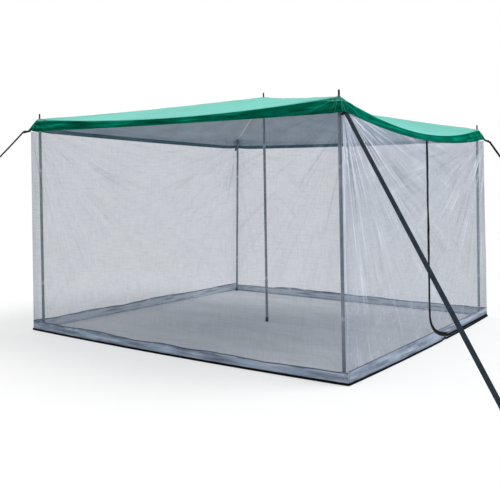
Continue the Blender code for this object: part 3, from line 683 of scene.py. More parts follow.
def addStrap(corner, root):
    values = strapValues
    width, thick, radius = (values[key] for key in ("width", "thickness", "eyeRadius"))
    run, twist = values["lengths"][corner], math.radians(values["twists"][corner])
    bearing, slope = (math.radians(values[key][corner]) for key in ("bearings", "slopes"))
    level = Vector((math.cos(bearing), math.sin(bearing), 0))
    along = level * math.cos(slope) - up * math.sin(slope)
    across = Matrix.Rotation(twist, 3, along) @ up.cross(level)
    under = across.cross(along)
    if under.z > 0:
        under = -under
    start = root + level * (thick / 2 + seatGap) + along * (thick / 2)

    def onRun(distance):
        share = distance / run
        return start + along * distance + under * (values["sag"] * 4 * share * (1 - share))

    path = [onRun(run * k / values["runSteps"]) for k in range(values["runSteps"] + 1)]
    cloth = webbing if corner == "front_right" else darkWebbing
    strap = strapPiece("guyStrap_" + corner, path, across, width, thick, cloth)
    # The end turns back on itself through a sewn eye and laps under the strap
    middle = path[-1] + under * radius
    eyePath = [onRun(run - 0.0005)]
    for k in range(values["eyeSteps"] + 1):
        turn = math.radians(values["eyeTurn"]) * k / values["eyeSteps"]
        eyePath.append(middle + (along * math.sin(turn) - under * math.cos(turn)) * radius)
    for k in range(values["lapSteps"] + 1):
        back = 2 * radius + values["eyeLap"] * k / values["lapSteps"]
        eyePath.append(onRun(run - back) + under * (thick + seatGap))
    eye = strapPiece("strapEye_" + corner, eyePath, across, width, thick, cloth)
    box = onRun(run - 2 * radius - values["eyeLap"] / 2)
    lines = boxStitch(box - under * (thick / 2), along, across, -under, values["lapBox"])
    lines += boxStitch(box + under * (thick * 1.5), along, across, under, values["lapBox"])
    stitches = sew("strapStitches_" + corner, lines, "webbing", values["stitchPitch"], values["stitchLength"])
    settle(strap, "guy_strap_" + corner)
    settle(eye, "guy_strap_" + corner)
    settle(stitches)


def addTab(corner):
    # Doubled webbing sewn flat under the canopy's corner
    values = strapValues
    outward = cornerSigns[corner].normalized()
    across = up.cross(outward)
    tip = tops[corner] + cornerSigns[corner] * (tent["tipReach"] + clothDepth / 2) - up * tent["valanceDrop"]
    rise = up * (hemPoint(cornerSides(corner)[1], -1).z - tip.z)
    tip -= up * (seatGap + values["tabThickness"] / 2)
    ends = [tip + rise - outward * values["tabInside"], tip + outward * values["tabOutside"]]
    steps, foldSteps = values["tabSteps"], values["foldSteps"]
    path = [ends[0].lerp(ends[1], k / steps) for k in range(steps + 1)]
    twist = values["tabTwists"][corner]
    name = "cornerTab_" + corner
    tab = strapPiece(name, path, across, values["width"], values["tabThickness"], darkWebbing, twist=twist)
    box = tip - outward * values["tabOutside"] - up * (values["tabThickness"] / 2)
    lines = boxStitch(box, outward, across, -up, values["tabBox"])
    stitches = sew("tabStitches_" + corner, lines, "webbing", values["stitchPitch"], values["stitchLength"])
    shares = [values["foldSpan"] * k / foldSteps - values["foldStart"] for k in range(foldSteps + 1)]
    fold = [ends[0].lerp(ends[1], share) - up * values["foldDrop"] for share in shares]
    width, thick = values["width"] * 0.9, values["foldThickness"]
    lump = strapPiece("tabFold_" + corner, fold, across, width, thick, darkWebbing, ribs=values["foldRibs"])
    settle(tab, "corner_tab_" + corner)
    settle(lump, "corner_tab_" + corner)
    settle(stitches)
    return ends[1]


for corner in cornerSigns:
    tabEnd = addTab(corner)
    if corner in strapValues["lengths"]:
        addStrap(corner, tabEnd)
print("guy straps and corner tabs made")

# Canopy: one sewn sheet, its roof drawn out to the corners and its edge turned down all round


def eavePoint(side, place):
    first, second = sides[side]
    levelShare = canopyValues["flatWidth"] / ((tops[second] - tops[first]).length / 2)
    point = tops[first].lerp(tops[second], (place + 1) / 2)
    return point - up * canopyValues["eaveSag"][side] * bow(place, levelShare)


def rayFold(point, centre, seed, rays=7.0):
    # Creases that run out from a pole top and die away
    away = point - centre
    reach = math.hypot(away.x, away.y)
    if reach < canopyValues["rayHole"]:
        return 0
    turn = math.atan2(away.y, away.x)
    fade = smooth(reach / canopyValues["rayStart"]) * math.exp(-reach / canopyValues["rayReach"])
    return wave(math.cos(turn) * rays, math.sin(turn) * rays, reach * 1.5 + seed) * fade


def roofPoint(side, place, ring):
    # Wrinkled all over, but not at the ridges' ends, where the eyelets lie
    values = canopyValues
    flat = values["flatWidth"] / half
    level = min(1, max(0, (ring - flat) / (1 - 2 * flat)))
    edge = eavePoint(side, place)
    point = peak.lerp(edge, ring)
    ridge = peak.z - tent["peakRise"] * level - values["ridgeSag"] * 4 * level * (1 - level)
    point.z = ridge - (tent["eaveHeight"] - edge.z) * level**1.5
    rays = sum(rayFold(point, top, k * 7.3) for k, top in enumerate(poleTops))
    ripple = wave(point.x * 2.1, point.y * 2.1, 3.7) * 0.9 + wave(point.x * 6.0, point.y * 6.0, 9.1) * 0.35
    depth = rays * values["rayDepth"] + ripple * values["rippleDepth"] * smooth((1 - ring) / 0.08)
    near = min((point - top).length for top in poleTops)
    point.z += depth * smooth((near - 0.012) / 0.05)
    return point


def valanceFold(side, place, part):
    # Folds that fan from the pole top over the turned-down edge, and slack ripples between them
    values = canopyValues
    fromCorner = (1 - abs(place)) * half
    angle = math.atan2(fromCorner, part * tent["valanceDrop"] + 0.02)
    seed = list(sides).index(side) * 5.1 + (2.3 if place > 0 else 0)
    fan = wave(angle * 5.5, seed, 0.4) + 0.5 * wave(angle * 13, seed, 2.4)
    fan *= math.exp(-fromCorner / 0.28) * smooth(fromCorner / 0.02)
    along = place * half
    slack = wave(along * 2.6 + seed, part * 1.3, 1.2) * 0.8 + wave(along * 7.5 + seed, part * 2.2, 5.2) * 0.4
    slack *= smooth(fromCorner / 0.15)
    body = math.sin(math.pi * min(1, part * 0.62)) if part > 0 else 0
    fanDepth = values["fanDepth"][sideCorner(side, place)]
    depth = (fan * fanDepth * 1.6 + slack * values["rippleDepth"]) * body
    if 0 < part < 1:
        fade = max(0, 1 - fromCorner / values["creaseRun"]) * smooth(fromCorner / 0.03)
        crease = values["creaseDepth"] * fade * math.cos(math.tau * fromCorner / values["creasePitch"])
        depth += crease * math.sin(math.pi * part) ** 0.8
    return depth


def sidePlaces():
    count = canopyValues["sideColumns"]
    right = [1 - (1 - k / count) ** 1.6 for k in range(count + 1)]
    return [-n for n in reversed(right[1:])] + right


def foldPlace(side, place, rise):
    # Distance from the nearest corner, height over the fold line, and a seed for that corner
    return ((1 - abs(place)) * half, rise, 3.0 * list(tops).index(sideCorner(side, place)))


def valanceRow(places, k, part):
    # The row's points, and how high each stands over the hem
    values = canopyValues
    row, rises = [], []
    for side, n in places:
        out, edge = outwards[side], eavePoint(side, n)
        level = smooth((abs(n) - 0.92) / 0.07)
        first = edge + out * values["flatWidth"] - up * (1 - level) * values["foldDrop"]
        if abs(n) > 0.97:
            shift = values["flatWidth"] * smooth((abs(n) - 0.97) / 0.03)
            first += up.cross(out) * math.copysign(shift, n)
        last = hemPoint(side, n)
        point = first.lerp(last, part) if k > 1 else edge.lerp(first, 0.8).lerp(last, part * 0.8)
        row.append(point + out * valanceFold(side, n, part))
        rises.append((1 - part) * (first - last).length)
    return row, rises


def addCanopy():
    values = canopyValues
    places = [(side, n) for side in sides for n in sidePlaces()[:-1]]
    count = values["roofRings"]
    rings = [0.0046] + [0.012 + 0.97 * (k / count) ** 0.92 for k in range(count)] + [0.9895, 1]
    runs = runsAlong([eavePoint(side, n) for side, n in places])
    rows, flats, rises, folds = [], [], [], []
    for ring in rings:
        rows.append([roofPoint(side, n, ring) for side, n in places])
        flats.append([(u, 3 - ring * half) for u in runs])
        rises.append([1.0] * len(places))
        folds.append([foldPlace(side, n, (1 - ring) * half) for side, n in places])
    for k in range(1, values["valanceRows"] + 1):
        part = k / values["valanceRows"]
        row, rise = valanceRow(places, k, part)
        rows.append(row)
        flats.append([(u, 1.5 - part * 0.12) for u in runs])
        rises.append(rise)
        folds.append([foldPlace(side, n, -part * tent["valanceDrop"]) for side, n in places])
    canopy = addGrid("canopySheet", rows[::-1], flats[::-1], canopyMaterials(), loops=True)
    mark(canopy, "hemRise", [value for row in rises[::-1] for value in row])
    mark(canopy, "foldPlace", [value for row in folds[::-1] for value in row], "FLOAT_VECTOR")
    return settle(thicken(canopy, values["thickness"], inside=1), "canopy")


canopyTopLook = {
    "dark": (0, 70, 52), "light": (1, 106, 81), "threadColour": (2, 114, 90), "threadTone": 0.12,
    "finish": {"Sheen Weight": 0.5, "Sheen Roughness": 0.25, "Coat Roughness": 0.32},
    "sheenTint": (8, 236, 218), "coat": 0.85,
    # Painted light below: the roof tones are a painted sheen, and the streak, edge and fan colours are
    # painted shade and painted highlights
    "paintedSheenRoofDark": (40, 174, 155), "paintedSheenRoofLight": (62, 188, 172), "roofSpan": (0.118, 0.15), "roofDrift": 0.7,
    "streakRate": (2.6, 30.0, 1.0), "paintedStreaks": ((0.5, 0.34, (0, 48, 35)), (0.54, 0.7, (8, 146, 114))),
    "paintedStreakTone": 0.75, "paintedEdgeHighlight": 0.6, "paintedHighlightColour": (132, 226, 206),
    "fans": ((7.0, 0.4, 0.75, (14, 150, 118)), (9.0, 0.055, 0.9, (150, 232, 214))),
    "paintedFoldShade": 0.75, "paintedFoldShadeColour": (0, 46, 34), "foldRelief": 0.004,
    "hemColour": (0, 74, 58), "hemTone": 0.35, "hemTop": 0.026, "ridgeLow": (0.1, 0.112),
    "ridgeHigh": (0.124, 0.114),
    "roughness": 0.36, "roughSpread": 0.06, "driftSize": 0.3, "stretch": 1.0, "specular": 0.0,
    "threads": 900.0, "creaseDepth": 0.004, "puckerDepth": 0.0012, "threadDepth": 0.0002,
}
canopyUnderLook = {
    "dark": (156, 167, 172), "light": (172, 183, 188), "threadColour": (184, 193, 198), "threadTone": 0.15,
    "roughness": 0.55, "roughSpread": 0.08, "driftSize": 0.3, "stretch": 1.0, "specular": 0.15,
    "threads": 900.0, "creaseDepth": 0.004, "puckerDepth": 0.001, "threadDepth": 0.0002,
    "hemColour": (2, 70, 54), "hemWidth": 0.042,
}


def canopyMaterials():
    look = canopyTopLook
    top, sockets, colour = clothMaterial("canopyTop", look)
    rise = readMark("hemRise")
    onRoof = remap(rise, *look["roofSpan"])
    # Painted sheen: the roof is painted lighter than the turned-down edge, in broad patches, for the sky it
    # mirrors at a flat angle
    drift = useGroup(driftGroup, {"Place": objectPlace(), "Size": look["roofDrift"], "Stretch": 1.0})
    roof = mixColour(remap(drift["Broad"], 0.35, 0.65), look["paintedSheenRoofDark"], look["paintedSheenRoofLight"])
    # Painted shade and painted highlights in streaks along the turned-down edge's long folds
    streak = noiseAt(vectorCalc("MULTIPLY", uvPlace(), look["streakRate"]), 1.0, 3.0)
    for low, high, shade in look["paintedStreaks"]:
        colour = mixColour(remap(streak, low, high) * look["paintedStreakTone"], colour, shade)
    colour = mixColour(onRoof, colour, roof)
    # A painted highlight along the fold, in patches, where the rounded edge would catch the light
    highlightPatches = remap(drift["Fine"], 0.4, 0.6, 0.2)
    ridge = remap(rise, *look["ridgeLow"]) * remap(rise, *look["ridgeHigh"]) * highlightPatches
    colour = mixColour(ridge * look["paintedEdgeHighlight"], colour, look["paintedHighlightColour"])
    # Painted shade and painted highlights in the folds that fan from each pole top; the same marks are raised
    # as a bump
    place, relief = readMark("foldPlace", "Vector"), 0.0
    for rays, reach, shine, shade in look["fans"]:
        fan = useGroup(rayGroup, {"Place": place, "Centre": (0.0, 0.0, 0.0), "Rays": rays, "Reach": reach})
        colour = mixColour(fan["Dark"] * look["paintedFoldShade"], colour, look["paintedFoldShadeColour"])
        colour = mixColour(fan["Light"] * shine, colour, shade)
        relief = relief + (fan["Light"] - fan["Dark"])
    bump(sockets, relief, look["foldRelief"], nodeValue(sockets["Normal"].links[0].from_socket))
    # The hem is doubled, so it is a little darker, with a fine line where it is sewn
    inHem = remap(rise, look["hemTop"], look["hemTop"] - 0.002, 0.0, look["hemTone"])
    wire(mixColour(inHem, colour, look["hemColour"]), sockets["Base Color"])
    # The proofed roof mirrors the sky where it is seen at a flat angle
    wire(onRoof * look["coat"], sockets["Coat Weight"])
    for key, value in look["finish"].items():
        sockets[key].default_value = value
    sockets["Sheen Tint"].default_value = linear(*look["sheenTint"])
    look = canopyUnderLook
    under, sockets, colour = clothMaterial("canopyUnder", look)
    inHem = remap(readMark("hemRise"), look["hemWidth"] + 0.002, look["hemWidth"])
    wire(mixColour(inHem, colour, look["hemColour"]), sockets["Base Color"])
    return top, under


canopySheet = addCanopy()


def hemLine(side, rise):
    line = []
    for n in sidePlaces():
        last = hemPoint(side, n)
        first = eavePoint(side, n) + outwards[side] * canopyValues["flatWidth"]
        part = 1 - rise / (first - last).length
        out = outwards[side] * (valanceFold(side, n, part) + seamValues["hemLift"])
        point = first.lerp(last, part) + out
        line.append((point, outwards[side]))
    return line


seamTapeLook = {
    "dark": (214, 217, 220), "light": (232, 234, 236), "threadColour": (242, 243, 244), "threadTone": 0.2,
    "roughness": 0.45, "roughSpread": 0.05, "driftSize": 0.05, "stretch": 1.0, "specular": 0.3,
    "threads": 900.0, "creaseDepth": 0.0004, "puckerDepth": 0.0003, "threadDepth": 0.0001,
}
seamTape = clothMaterial("seamTape", seamTapeLook)[0]
seamValues = {
    "width": 0.016, "end": 0.045, "steps": 60, "thickness": 0.0004, "drop": 0.0006, "stitchOff": 0.005,
    "hemRises": (0.004, 0.022), "hemLift": 0.0002, "stitch": (0.0085, 0.006, 0.0011), "lift": 0.0003,
    "flatPitch": 0.035,
}


def addRidgeTape(corner):
    values = seamValues
    before, after = cornerSides(corner)
    endShare = values["end"] / (tops[corner] - peak).length
    drop = up * (canopyValues["thickness"] + values["drop"])
    shares = (-1, -0.5, 0, 0.5, 1)
    rows, places = [], []
    for k in range(values["steps"] + 1):
        ring = endShare + (1 - 2 * endShare) * k / values["steps"]
        row = []
        for share in shares:
            near = abs(share) * values["width"] / 2 / (half * ring)
            side, place = (before, 1 - near) if share < 0 else (after, -1 + near)
            row.append(roofPoint(side, place, ring) - drop)
        rows.append(row)
        places.append([(share * values["width"] / 2, k * values["flatPitch"]) for share in shares])
    tape = addGrid("ridgeTape_" + corner, rows, places, seamTape)
    return settle(thicken(tape, values["thickness"], offset=0), "ridge_tape_" + corner)


def ridgeLines(corner):
    # Two rows of stitches along a roof seam, one on each side of the ridge
    lines = []
    for side, sign in zip(cornerSides(corner), (1, -1)):
        rings = [0.04 + 0.92 * k / 59 for k in range(60)]
        places = [sign * (1 - seamValues["stitchOff"] / (half * ring)) for ring in rings]
        lift = up * seamValues["lift"]
        lines.append([(roofPoint(side, place, ring) + lift, up) for place, ring in zip(places, rings)])
    return lines


canopySeams = [hemLine(side, rise) for side in sides for rise in seamValues["hemRises"]]
canopySeams += [line for corner in tops for line in ridgeLines(corner)]
canopyStitches = settle(sew("canopyStitches", canopySeams, "canopy_cloth", *seamValues["stitch"]))
ridgeTapes = [addRidgeTape(corner) for corner in tops]
print("canopy made")

# Net walls: a tree of Geometry Nodes hangs each plain wall, and the door wall follows the same rule

netFolds = {
    "Fold depth": 0.011, "Crest distance": 0.55, "Fold fan": 7.0, "Fold margin": 0.18, "Ripple depth": 0.009,
    "Ripple reach": 0.75, "Ripple rays": 11.0, "Ripple margin": 0.05, "Gather reach": 0.09,
}
netValues = {"Columns": 150, "Rows": 84, "overlap": 0.028}
netLook = {
    "dark": (80, 103, 136), "light": (92, 117, 150),
    # The crease colours are a painted highlight and painted shade
    "paintedCreaseHighlight": (226, 233, 244), "paintedCreaseShade": (34, 46, 66), "roughness": 0.55, "specular": 0.1,
    "alpha": 0.195, "threadAlpha": 0.08, "gatherAlpha": 0.1, "driftAlpha": 0.012, "lightAlpha": 0.13,
    "darkAlpha": 0.11, "threads": 620.0, "rays": (17.0, 37.0), "reach": 1.0, "rayLight": 0.3,
    "wrinkleLight": 0.1, "pickRate": 130.0, "pickAlpha": 0.08, "footReach": 0.26, "footRays": 9.0,
    "veilAlpha": 0.03, "veilReach": 0.5, "veilLight": 0.1, "veilNarrow": 1.0, "paintedCreaseShadeTone": 0.6,
    "driftSize": 0.3, "stretch": 2.2, "creaseDepth": 0.006, "puckerDepth": 0.002, "fanRise": 0.06,
    "footDrop": 0.02, "wrinkleTurn": 0.5, "wrinkleStretch": 3.2, "wrinkleRate": 3.5, "wrinkleWidth": 0.02,
}
# The door wall's copy of the same net cloth: painted lighter, with stronger painted highlights and a paler
# painted veil, and drawn denser
doorNetPaintedLightLook = {
    **netLook, "reach": 1.3, "rayLight": 0.9, "wrinkleLight": 0.2, "lightAlpha": 0.26, "gatherAlpha": 0.2,
    "dark": (109, 126, 151), "light": (121, 137, 161), "alpha": 0.3, "veilAlpha": 0.5, "veilReach": 0.5,
    "veilLight": 0.4, "veilNarrow": 0.35,
}


def netMaterial(name, look):
    material, sockets = newMaterial(name, look["roughness"], specular=look["specular"])
    place = uvPlace()
    drift = useGroup(driftGroup, {"Place": place, "Size": look["driftSize"], "Stretch": look["stretch"]})
    weave = useGroup(weaveGroup, {"Place": place, "Threads per metre": look["threads"]})
    # Thicker threads here and there, along and across
    drawn = [vectorCalc("MULTIPLY", place, stretch) for stretch in ((0.05, 1.0, 1.0), (1.0, 0.05, 1.0))]
    pick = calc("MAXIMUM", *(remap(noiseAt(one, look["pickRate"], 1.0), 0.45, 0.75) for one in drawn))
    # Painted highlights and painted shade along creases that fan from the pole tops and from the feet; there
    # the cloth is also a little denser
    light, dark = 0.0, 0.0
    fans = [(rays, hemLevel + look["fanRise"], look["reach"]) for rays in look["rays"]]
    for rays, height, reach in [*fans, (look["footRays"], -look["footDrop"], look["footReach"])]:
        for along in (0.0, wallWidth):
            inputs = {"Place": place, "Centre": (along, height, 0.0), "Rays": rays, "Reach": reach}
            creases = useGroup(rayGroup, inputs)
            light, dark = light + creases["Light"], dark + creases["Dark"]
    # Slack wrinkles, thin lines that wander over the cloth, painted as highlights
    leaning = {
        "Vector": place, "Rotation": (0, 0, look["wrinkleTurn"]), "Scale": (1.0, look["wrinkleStretch"], 1.0)
    }
    ridge = abs(noiseAt(valueOf("ShaderNodeMapping", leaning), look["wrinkleRate"], 4.0) - 0.5)
    wrinkle = remap(ridge, 0.0, look["wrinkleWidth"], 1.0, 0.0) * remap(drift["Fine"], 0.45, 0.6)
    light = calc("MINIMUM", light * look["rayLight"] + wrinkle * look["wrinkleLight"], 1.0)
    dark = calc("MINIMUM", dark, 1.0)
    share = remap(drift["Broad"], 0.35, 0.65)
    colour = mixColour(share, look["dark"], look["light"])
    # Drawn together, the cloth is denser below the near corner, and there it is also painted paler, a painted
    # highlight
    away = vectorCalc("SUBTRACT", place, (0.0, hemLevel, 0.0))
    away = vectorCalc("LENGTH", vectorCalc("MULTIPLY", away, (look["veilNarrow"], 1.0, 1.0)))
    veil = fadeOver(away, look["veilReach"])
    colour = mixColour(veil * look["veilLight"], colour, look["paintedCreaseHighlight"])
    # Painted shade in the creases, then painted highlights on the creases and wrinkles
    colour = mixColour(dark * look["paintedCreaseShadeTone"], colour, look["paintedCreaseShade"])
    wire(mixColour(light, colour, look["paintedCreaseHighlight"]), sockets["Base Color"])
    total = look["alpha"]
    for part, weight in (
        (remap(weave["Thread"], 0.35, 0.8), "threadAlpha"), (readMark("gather"), "gatherAlpha"),
        (share, "driftAlpha"), (veil, "veilAlpha"), (light, "lightAlpha"), (dark, "darkAlpha"),
        (pick, "pickAlpha"),
    ):
        total = part * look[weight] + total
    wire(total, sockets["Alpha"])
    normal = bump(sockets, drift["Broad"], look["creaseDepth"])
    bump(sockets, drift["Fine"], look["puckerDepth"], normal)
    return material


netCloth = netMaterial("netCloth", netLook)
doorNetPaintedLightCloth = netMaterial("doorNetPaintedLightCloth", doorNetPaintedLightLook)


def mixPlace(share, first, second):
    return valueOf("ShaderNodeMix", {0: share, 4: first, 5: second}, 1, data_type="VECTOR")


def makeNetTree():
    inputs = {
        "Geometry": "Geometry", "Foot start": "Vector", "Foot end": "Vector", "Head start": "Vector",
        "Head end": "Vector", "Outward": "Vector", "Side length": tent["footSpacing"],
        "Low height": tent["bandHeight"], "Hem level": hemLevel, "Hem sag": tent["hemSag"]["front"],
        "Level share": tent["hemLevelShare"], "End share": 0.0006, **netFolds, "Foot bow": 0.02, "Seed": 0.0,
        "Columns": netValues["Columns"], "Rows": netValues["Rows"], "Finish": "Material",
    }
    tree, given, made = newGroup("netWall", "GeometryNodeTree", inputs, {"Geometry": "Geometry"})
    low, level, length = given["Low height"], given["Hem level"], given["Side length"]
    endShare = given["End share"]
    size = {"Size X": 1.0, "Size Y": 1.0, "Vertices X": given["Columns"], "Vertices Y": given["Rows"]}
    grid = valueOf("GeometryNodeMeshGrid", size, "Mesh")
    across, rise = (part + 0.5 for part in separate(valueOf("GeometryNodeInputPosition"))[:2])
    share = endShare + across * (1.0 - endShare * 2.0)
    near = calc("MINIMUM", 1.0, abs(share * 2.0 - 1.0) / (1.0 - given["Level share"]))
    hem = level - given["Hem sag"] * (1.0 - near * near)
    height = low + rise * (hem - low)
    foot = mixPlace(share, given["Foot start"], given["Foot end"])
    head = mixPlace(share, given["Head start"], given["Head end"])
    fans, ripple, gather = 0.0, 0.0, 0.0
    down = level - height
    for end in (0.0, 1.0):
        away = abs(share - end) * length
        reach = calc("SQRT", away * away + down * down)
        angle = calc("ARCTAN2", down, away)
        crest = reach / given["Crest distance"]
        fan = calc("SINE", angle * given["Fold fan"] + end)
        fans = fans + fan * (crest * calc("EXPONENT", 1.0 - crest))
        spread = combine(angle * given["Ripple rays"], reach * 1.4, given["Seed"] + 4.0 * end)
        ripple = ripple + (noiseAt(spread, 1.0, 2.0) - 0.5) * 3.0 * fadeOver(reach, given["Ripple reach"])
        gather = calc("MAXIMUM", gather, fadeOver(away, given["Gather reach"]))
    left = share * length
    flatPlace = combine(left, height, given["Seed"])
    ripple = ripple + (noiseAt(flatPlace, 1.7, 2.0) - 0.5) * 2.0
    # The cloth lies flat at its seams
    seam = calc("MINIMUM", calc("MINIMUM", left, length - left), height - low)
    seam = calc("MAXIMUM", 0.0, calc("MINIMUM", seam, hem - height))
    depth = fans * given["Fold depth"] * calc("MINIMUM", 1.0, seam / given["Fold margin"])
    depth = depth + ripple * given["Ripple depth"] * calc("MINIMUM", 1.0, seam / given["Ripple margin"])
    middle, above = share * 2.0 - 1.0, 1.0 - height / level
    depth = depth + (1.0 - middle * middle) * (above * above) * given["Foot bow"]
    moved = vectorCalc("SCALE", given["Outward"], depth)
    moved = vectorCalc("ADD", mixPlace(height / level, foot, head), moved)
    mapped = {"Geometry": grid, "Name": "clothMap", "Value": flatPlace}
    mapped = valueOf("GeometryNodeStoreNamedAttribute", mapped, data_type="FLOAT2", domain="CORNER")
    marked = {"Geometry": mapped, "Name": "gather", "Value": gather}
    marked = valueOf("GeometryNodeStoreNamedAttribute", marked, data_type="FLOAT", domain="POINT")
    hung = valueOf("GeometryNodeSetPosition", {0: marked, "Position": moved})
    endTree(valueOf("GeometryNodeSetShadeSmooth", {0: hung}), given, made)
    return tree


netTree = makeNetTree()
for seed, side in ((2.0, "front"), (11.0, "left"), (23.0, "back")):
    first, second = sides[side]
    name = "net_" + side + "_sheet"
    values = {
        "Foot start": wallFeet[first], "Foot end": wallFeet[second],
        "Head start": wallHeads[first], "Head end": wallHeads[second],
        "Outward": outwards[side], "Side length": sideLength(side),
        "Low height": tent["bandHeight"] - netValues["overlap"], "Hem level": hemLevel,
        "Hem sag": tent["hemSag"][side], "End share": cornerGap / sideLength(side), "Seed": seed,
        "Foot bow": tent["footBow"][side], "Finish": netCloth,
    }
    net = applyTree(addObject(name, bpy.data.meshes.new(name)), netTree, values)
    settle(net, "net_" + side)
print("front, left and back nets hung")

# Door: the wall is slit along an L-shaped zip, and the flap folds out on a slanting line

doorValues = {
    "zipAlong": 1.5, "zipTop": 1.670798, "zipLow": 0.03, "bendWidth": 0.45, "bendHeight": 0.22,
    "highSteps": 60, "bendSteps": 28, "lowSteps": 36, "tapeWidth": 0.013, "chainGap": 0.002, "parking": 0.07,
    "stillDistance": 0.5, "blendReach": 0.035, "rows": 90, "sideColumns": 84, "panelColumns": 80,
    "rippleDepth": 0.009, "rayReach": 1.1, "zipMargin": 0.06,
}
zipAlong, zipTop, zipLow = (doorValues[key] for key in ("zipAlong", "zipTop", "zipLow"))
doorFoot, doorHead = wallFeet["front_right"], wallHeads["front_right"]


def doorPoint(along, height, depth=0.0):
    depth += footBow("door", along / wallWidth, height)
    x = doorFoot.x + (doorHead.x - doorFoot.x) * height / hemLevel + depth
    return Vector((x, doorFoot.y + along, height))


def doorEdge(end, height):
    share = cornerGap / sideLength("door")
    return wallPoint("door", share if end == 0 else 1 - share, height).y - doorFoot.y


def doorHemHeight(along):
    far = wallHeads["back_right"].y
    share = (doorFoot.y + along - doorHead.y) / (far - doorHead.y)
    return hemHeight("door", min(1, max(0, share)))


hingeHigh = Vector((zipAlong, zipTop - doorValues["parking"]))
hingeLow = Vector((doorEdge(1, zipLow), zipLow))
hingeWay = (hingeLow - hingeHigh).normalized()
doorTilt = math.atan2(doorHead.x - doorFoot.x, hemLevel)
doorFace = Matrix.Rotation(doorTilt, 3, "Y") @ Vector((1, 0, 0))


def zipLine(distance):
    # The zip's course at a distance from its middle, towards the flap where that is positive
    wide, tall, steps = (doorValues[key] for key in ("bendWidth", "bendHeight", "bendSteps"))
    highSteps, lowSteps = doorValues["highSteps"], doorValues["lowSteps"]
    heights = [zipTop + (zipLow + tall - zipTop) * k / highSteps for k in range(highSteps)]
    places = [Vector((zipAlong + distance, height)) for height in heights]
    for k in range(steps + 1):
        turn = math.radians(90) * k / steps
        place = Vector((zipAlong + wide * (1 - math.cos(turn)), zipLow + tall * (1 - math.sin(turn))))
        way = Vector((tall * math.cos(turn), wide * math.sin(turn)))
        places.append(place + way.normalized() * distance)
    start, end = places[-1], Vector((hingeLow.x, zipLow + distance))
    return places + [start.lerp(end, (k + 1) / lowSteps) for k in range(lowSteps)]


def lineAtHeight(line, height):
    if height >= line[0].y:
        return line[0].x
    for high, low in zip(line, line[1:]):
        if high.y >= height >= low.y and high.y > low.y:
            return high.lerp(low, (high.y - height) / (high.y - low.y)).x
    return line[-1].x


def lineAtPlace(line, along):
    # The height of the line's lower run at a place along the wall
    for first, second in zip(line, line[1:]):
        if first.x <= along <= second.x and second.x > first.x:
            return first.lerp(second, (along - first.x) / (second.x - first.x)).y
    return line[-1].y


edgeOffset = doorValues["tapeWidth"] + seatGap
zipMiddle, wallZipLine, flapZipLine = zipLine(0), zipLine(-edgeOffset), zipLine(edgeOffset)


def doorFold(along, height):
    # Folds fan out from both pole tops, and stay clear of the zip and of the flap's fold line
    values = netFolds
    length = sideLength("door")
    share = along / wallWidth
    total, ripple = 0, 0
    down = hemLevel - height
    for end in (0, 1):
        away = abs(share - end) * length
        reach, angle = math.hypot(away, down), math.atan2(down, away)
        crest = reach / values["Crest distance"]
        total += math.sin(values["Fold fan"] * angle + end) * crest * math.exp(1 - crest)
        turn = angle * values["Ripple rays"]
        rays = wave(turn * 1.3, reach * 1.4, 41 + 4 * end) + 0.6 * wave(turn * 3.1, reach * 1.7, 61 + 4 * end)
        ripple += rays * 1.5 * math.exp(-reach / doorValues["rayReach"])
    left = share * length
    ripple += wave(left * 1.9, height * 1.9, 7.7) + 0.5 * wave(left * 5.5, height * 4.5, 17.7)
    seam = min(left, (1 - share) * length, height - tent["bandHeight"], doorHemHeight(along) - height)
    seam = max(0, seam)
    away = Vector((along, height)) - hingeHigh
    fromHinge = abs(away.x * hingeWay.y - away.y * hingeWay.x)
    fromZip = abs(along - lineAtHeight(zipMiddle, height))
    still = min(1, fromHinge / doorValues["stillDistance"], fromZip / values["Fold margin"])
    fold = values["Fold depth"] * total * min(1, seam / values["Fold margin"]) * still
    near = min(1, seam / values["Ripple margin"], fromZip / doorValues["zipMargin"])
    return fold + doorValues["rippleDepth"] * ripple * near


def addDoorNet(name, leftAt, rightAt, columns):
    rows, places = [], []
    low = tent["bandHeight"] + seatGap
    for row in range(doorValues["rows"] + 1):
        part = row / doorValues["rows"]
        flat = []
        for k in range(columns + 1):
            guess = low + (hemLevel - low) * part
            along = leftAt(guess) + (rightAt(guess) - leftAt(guess)) * k / columns
            height = low + (doorHemHeight(along) - low) * part
            near, far = leftAt(height), rightAt(height)
            flat.append((near + (far - near) * k / columns, height))
        rows.append([doorPoint(along, height, doorFold(along, height)) for along, height in flat])
        places.append(flat)
    made = addGrid(name, rows, places, doorNetPaintedLightCloth)
    fromSide = [min(along, wallWidth - along) for row in places for along, height in row]
    mark(made, "gather", [math.exp(-distance / netFolds["Gather reach"]) for distance in fromSide])
    return made


blendMiddle = doorPoint(*((hingeHigh + hingeLow) / 2))
hingeAxis = (doorPoint(*hingeHigh) - doorPoint(*hingeLow)).normalized()
towardsFlap = hingeAxis.cross(doorFace).normalized()
if towardsFlap.z > 0:
    towardsFlap = -towardsFlap


def blendFlap(piece, *nodes):
    if nodes:
        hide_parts(*nodes)
    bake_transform(piece)
    return piece


doorSideNet = addDoorNet(
    "netDoorSideSheet", lambda h: doorEdge(0, h), lambda h: lineAtHeight(wallZipLine, h),
    doorValues["sideColumns"],
)
settle(doorSideNet, "net_door_side")
doorPanelNet = addDoorNet(
    "netDoorPanelSheet", lambda h: lineAtHeight(flapZipLine, h), lambda h: doorEdge(1, h),
    doorValues["panelColumns"],
)
blendFlap(doorPanelNet, "net_door_upper", "net_door_flap")
print("door nets hung")

# Mud wall: a band of close-woven cloth along the ground, crumpled between its seams

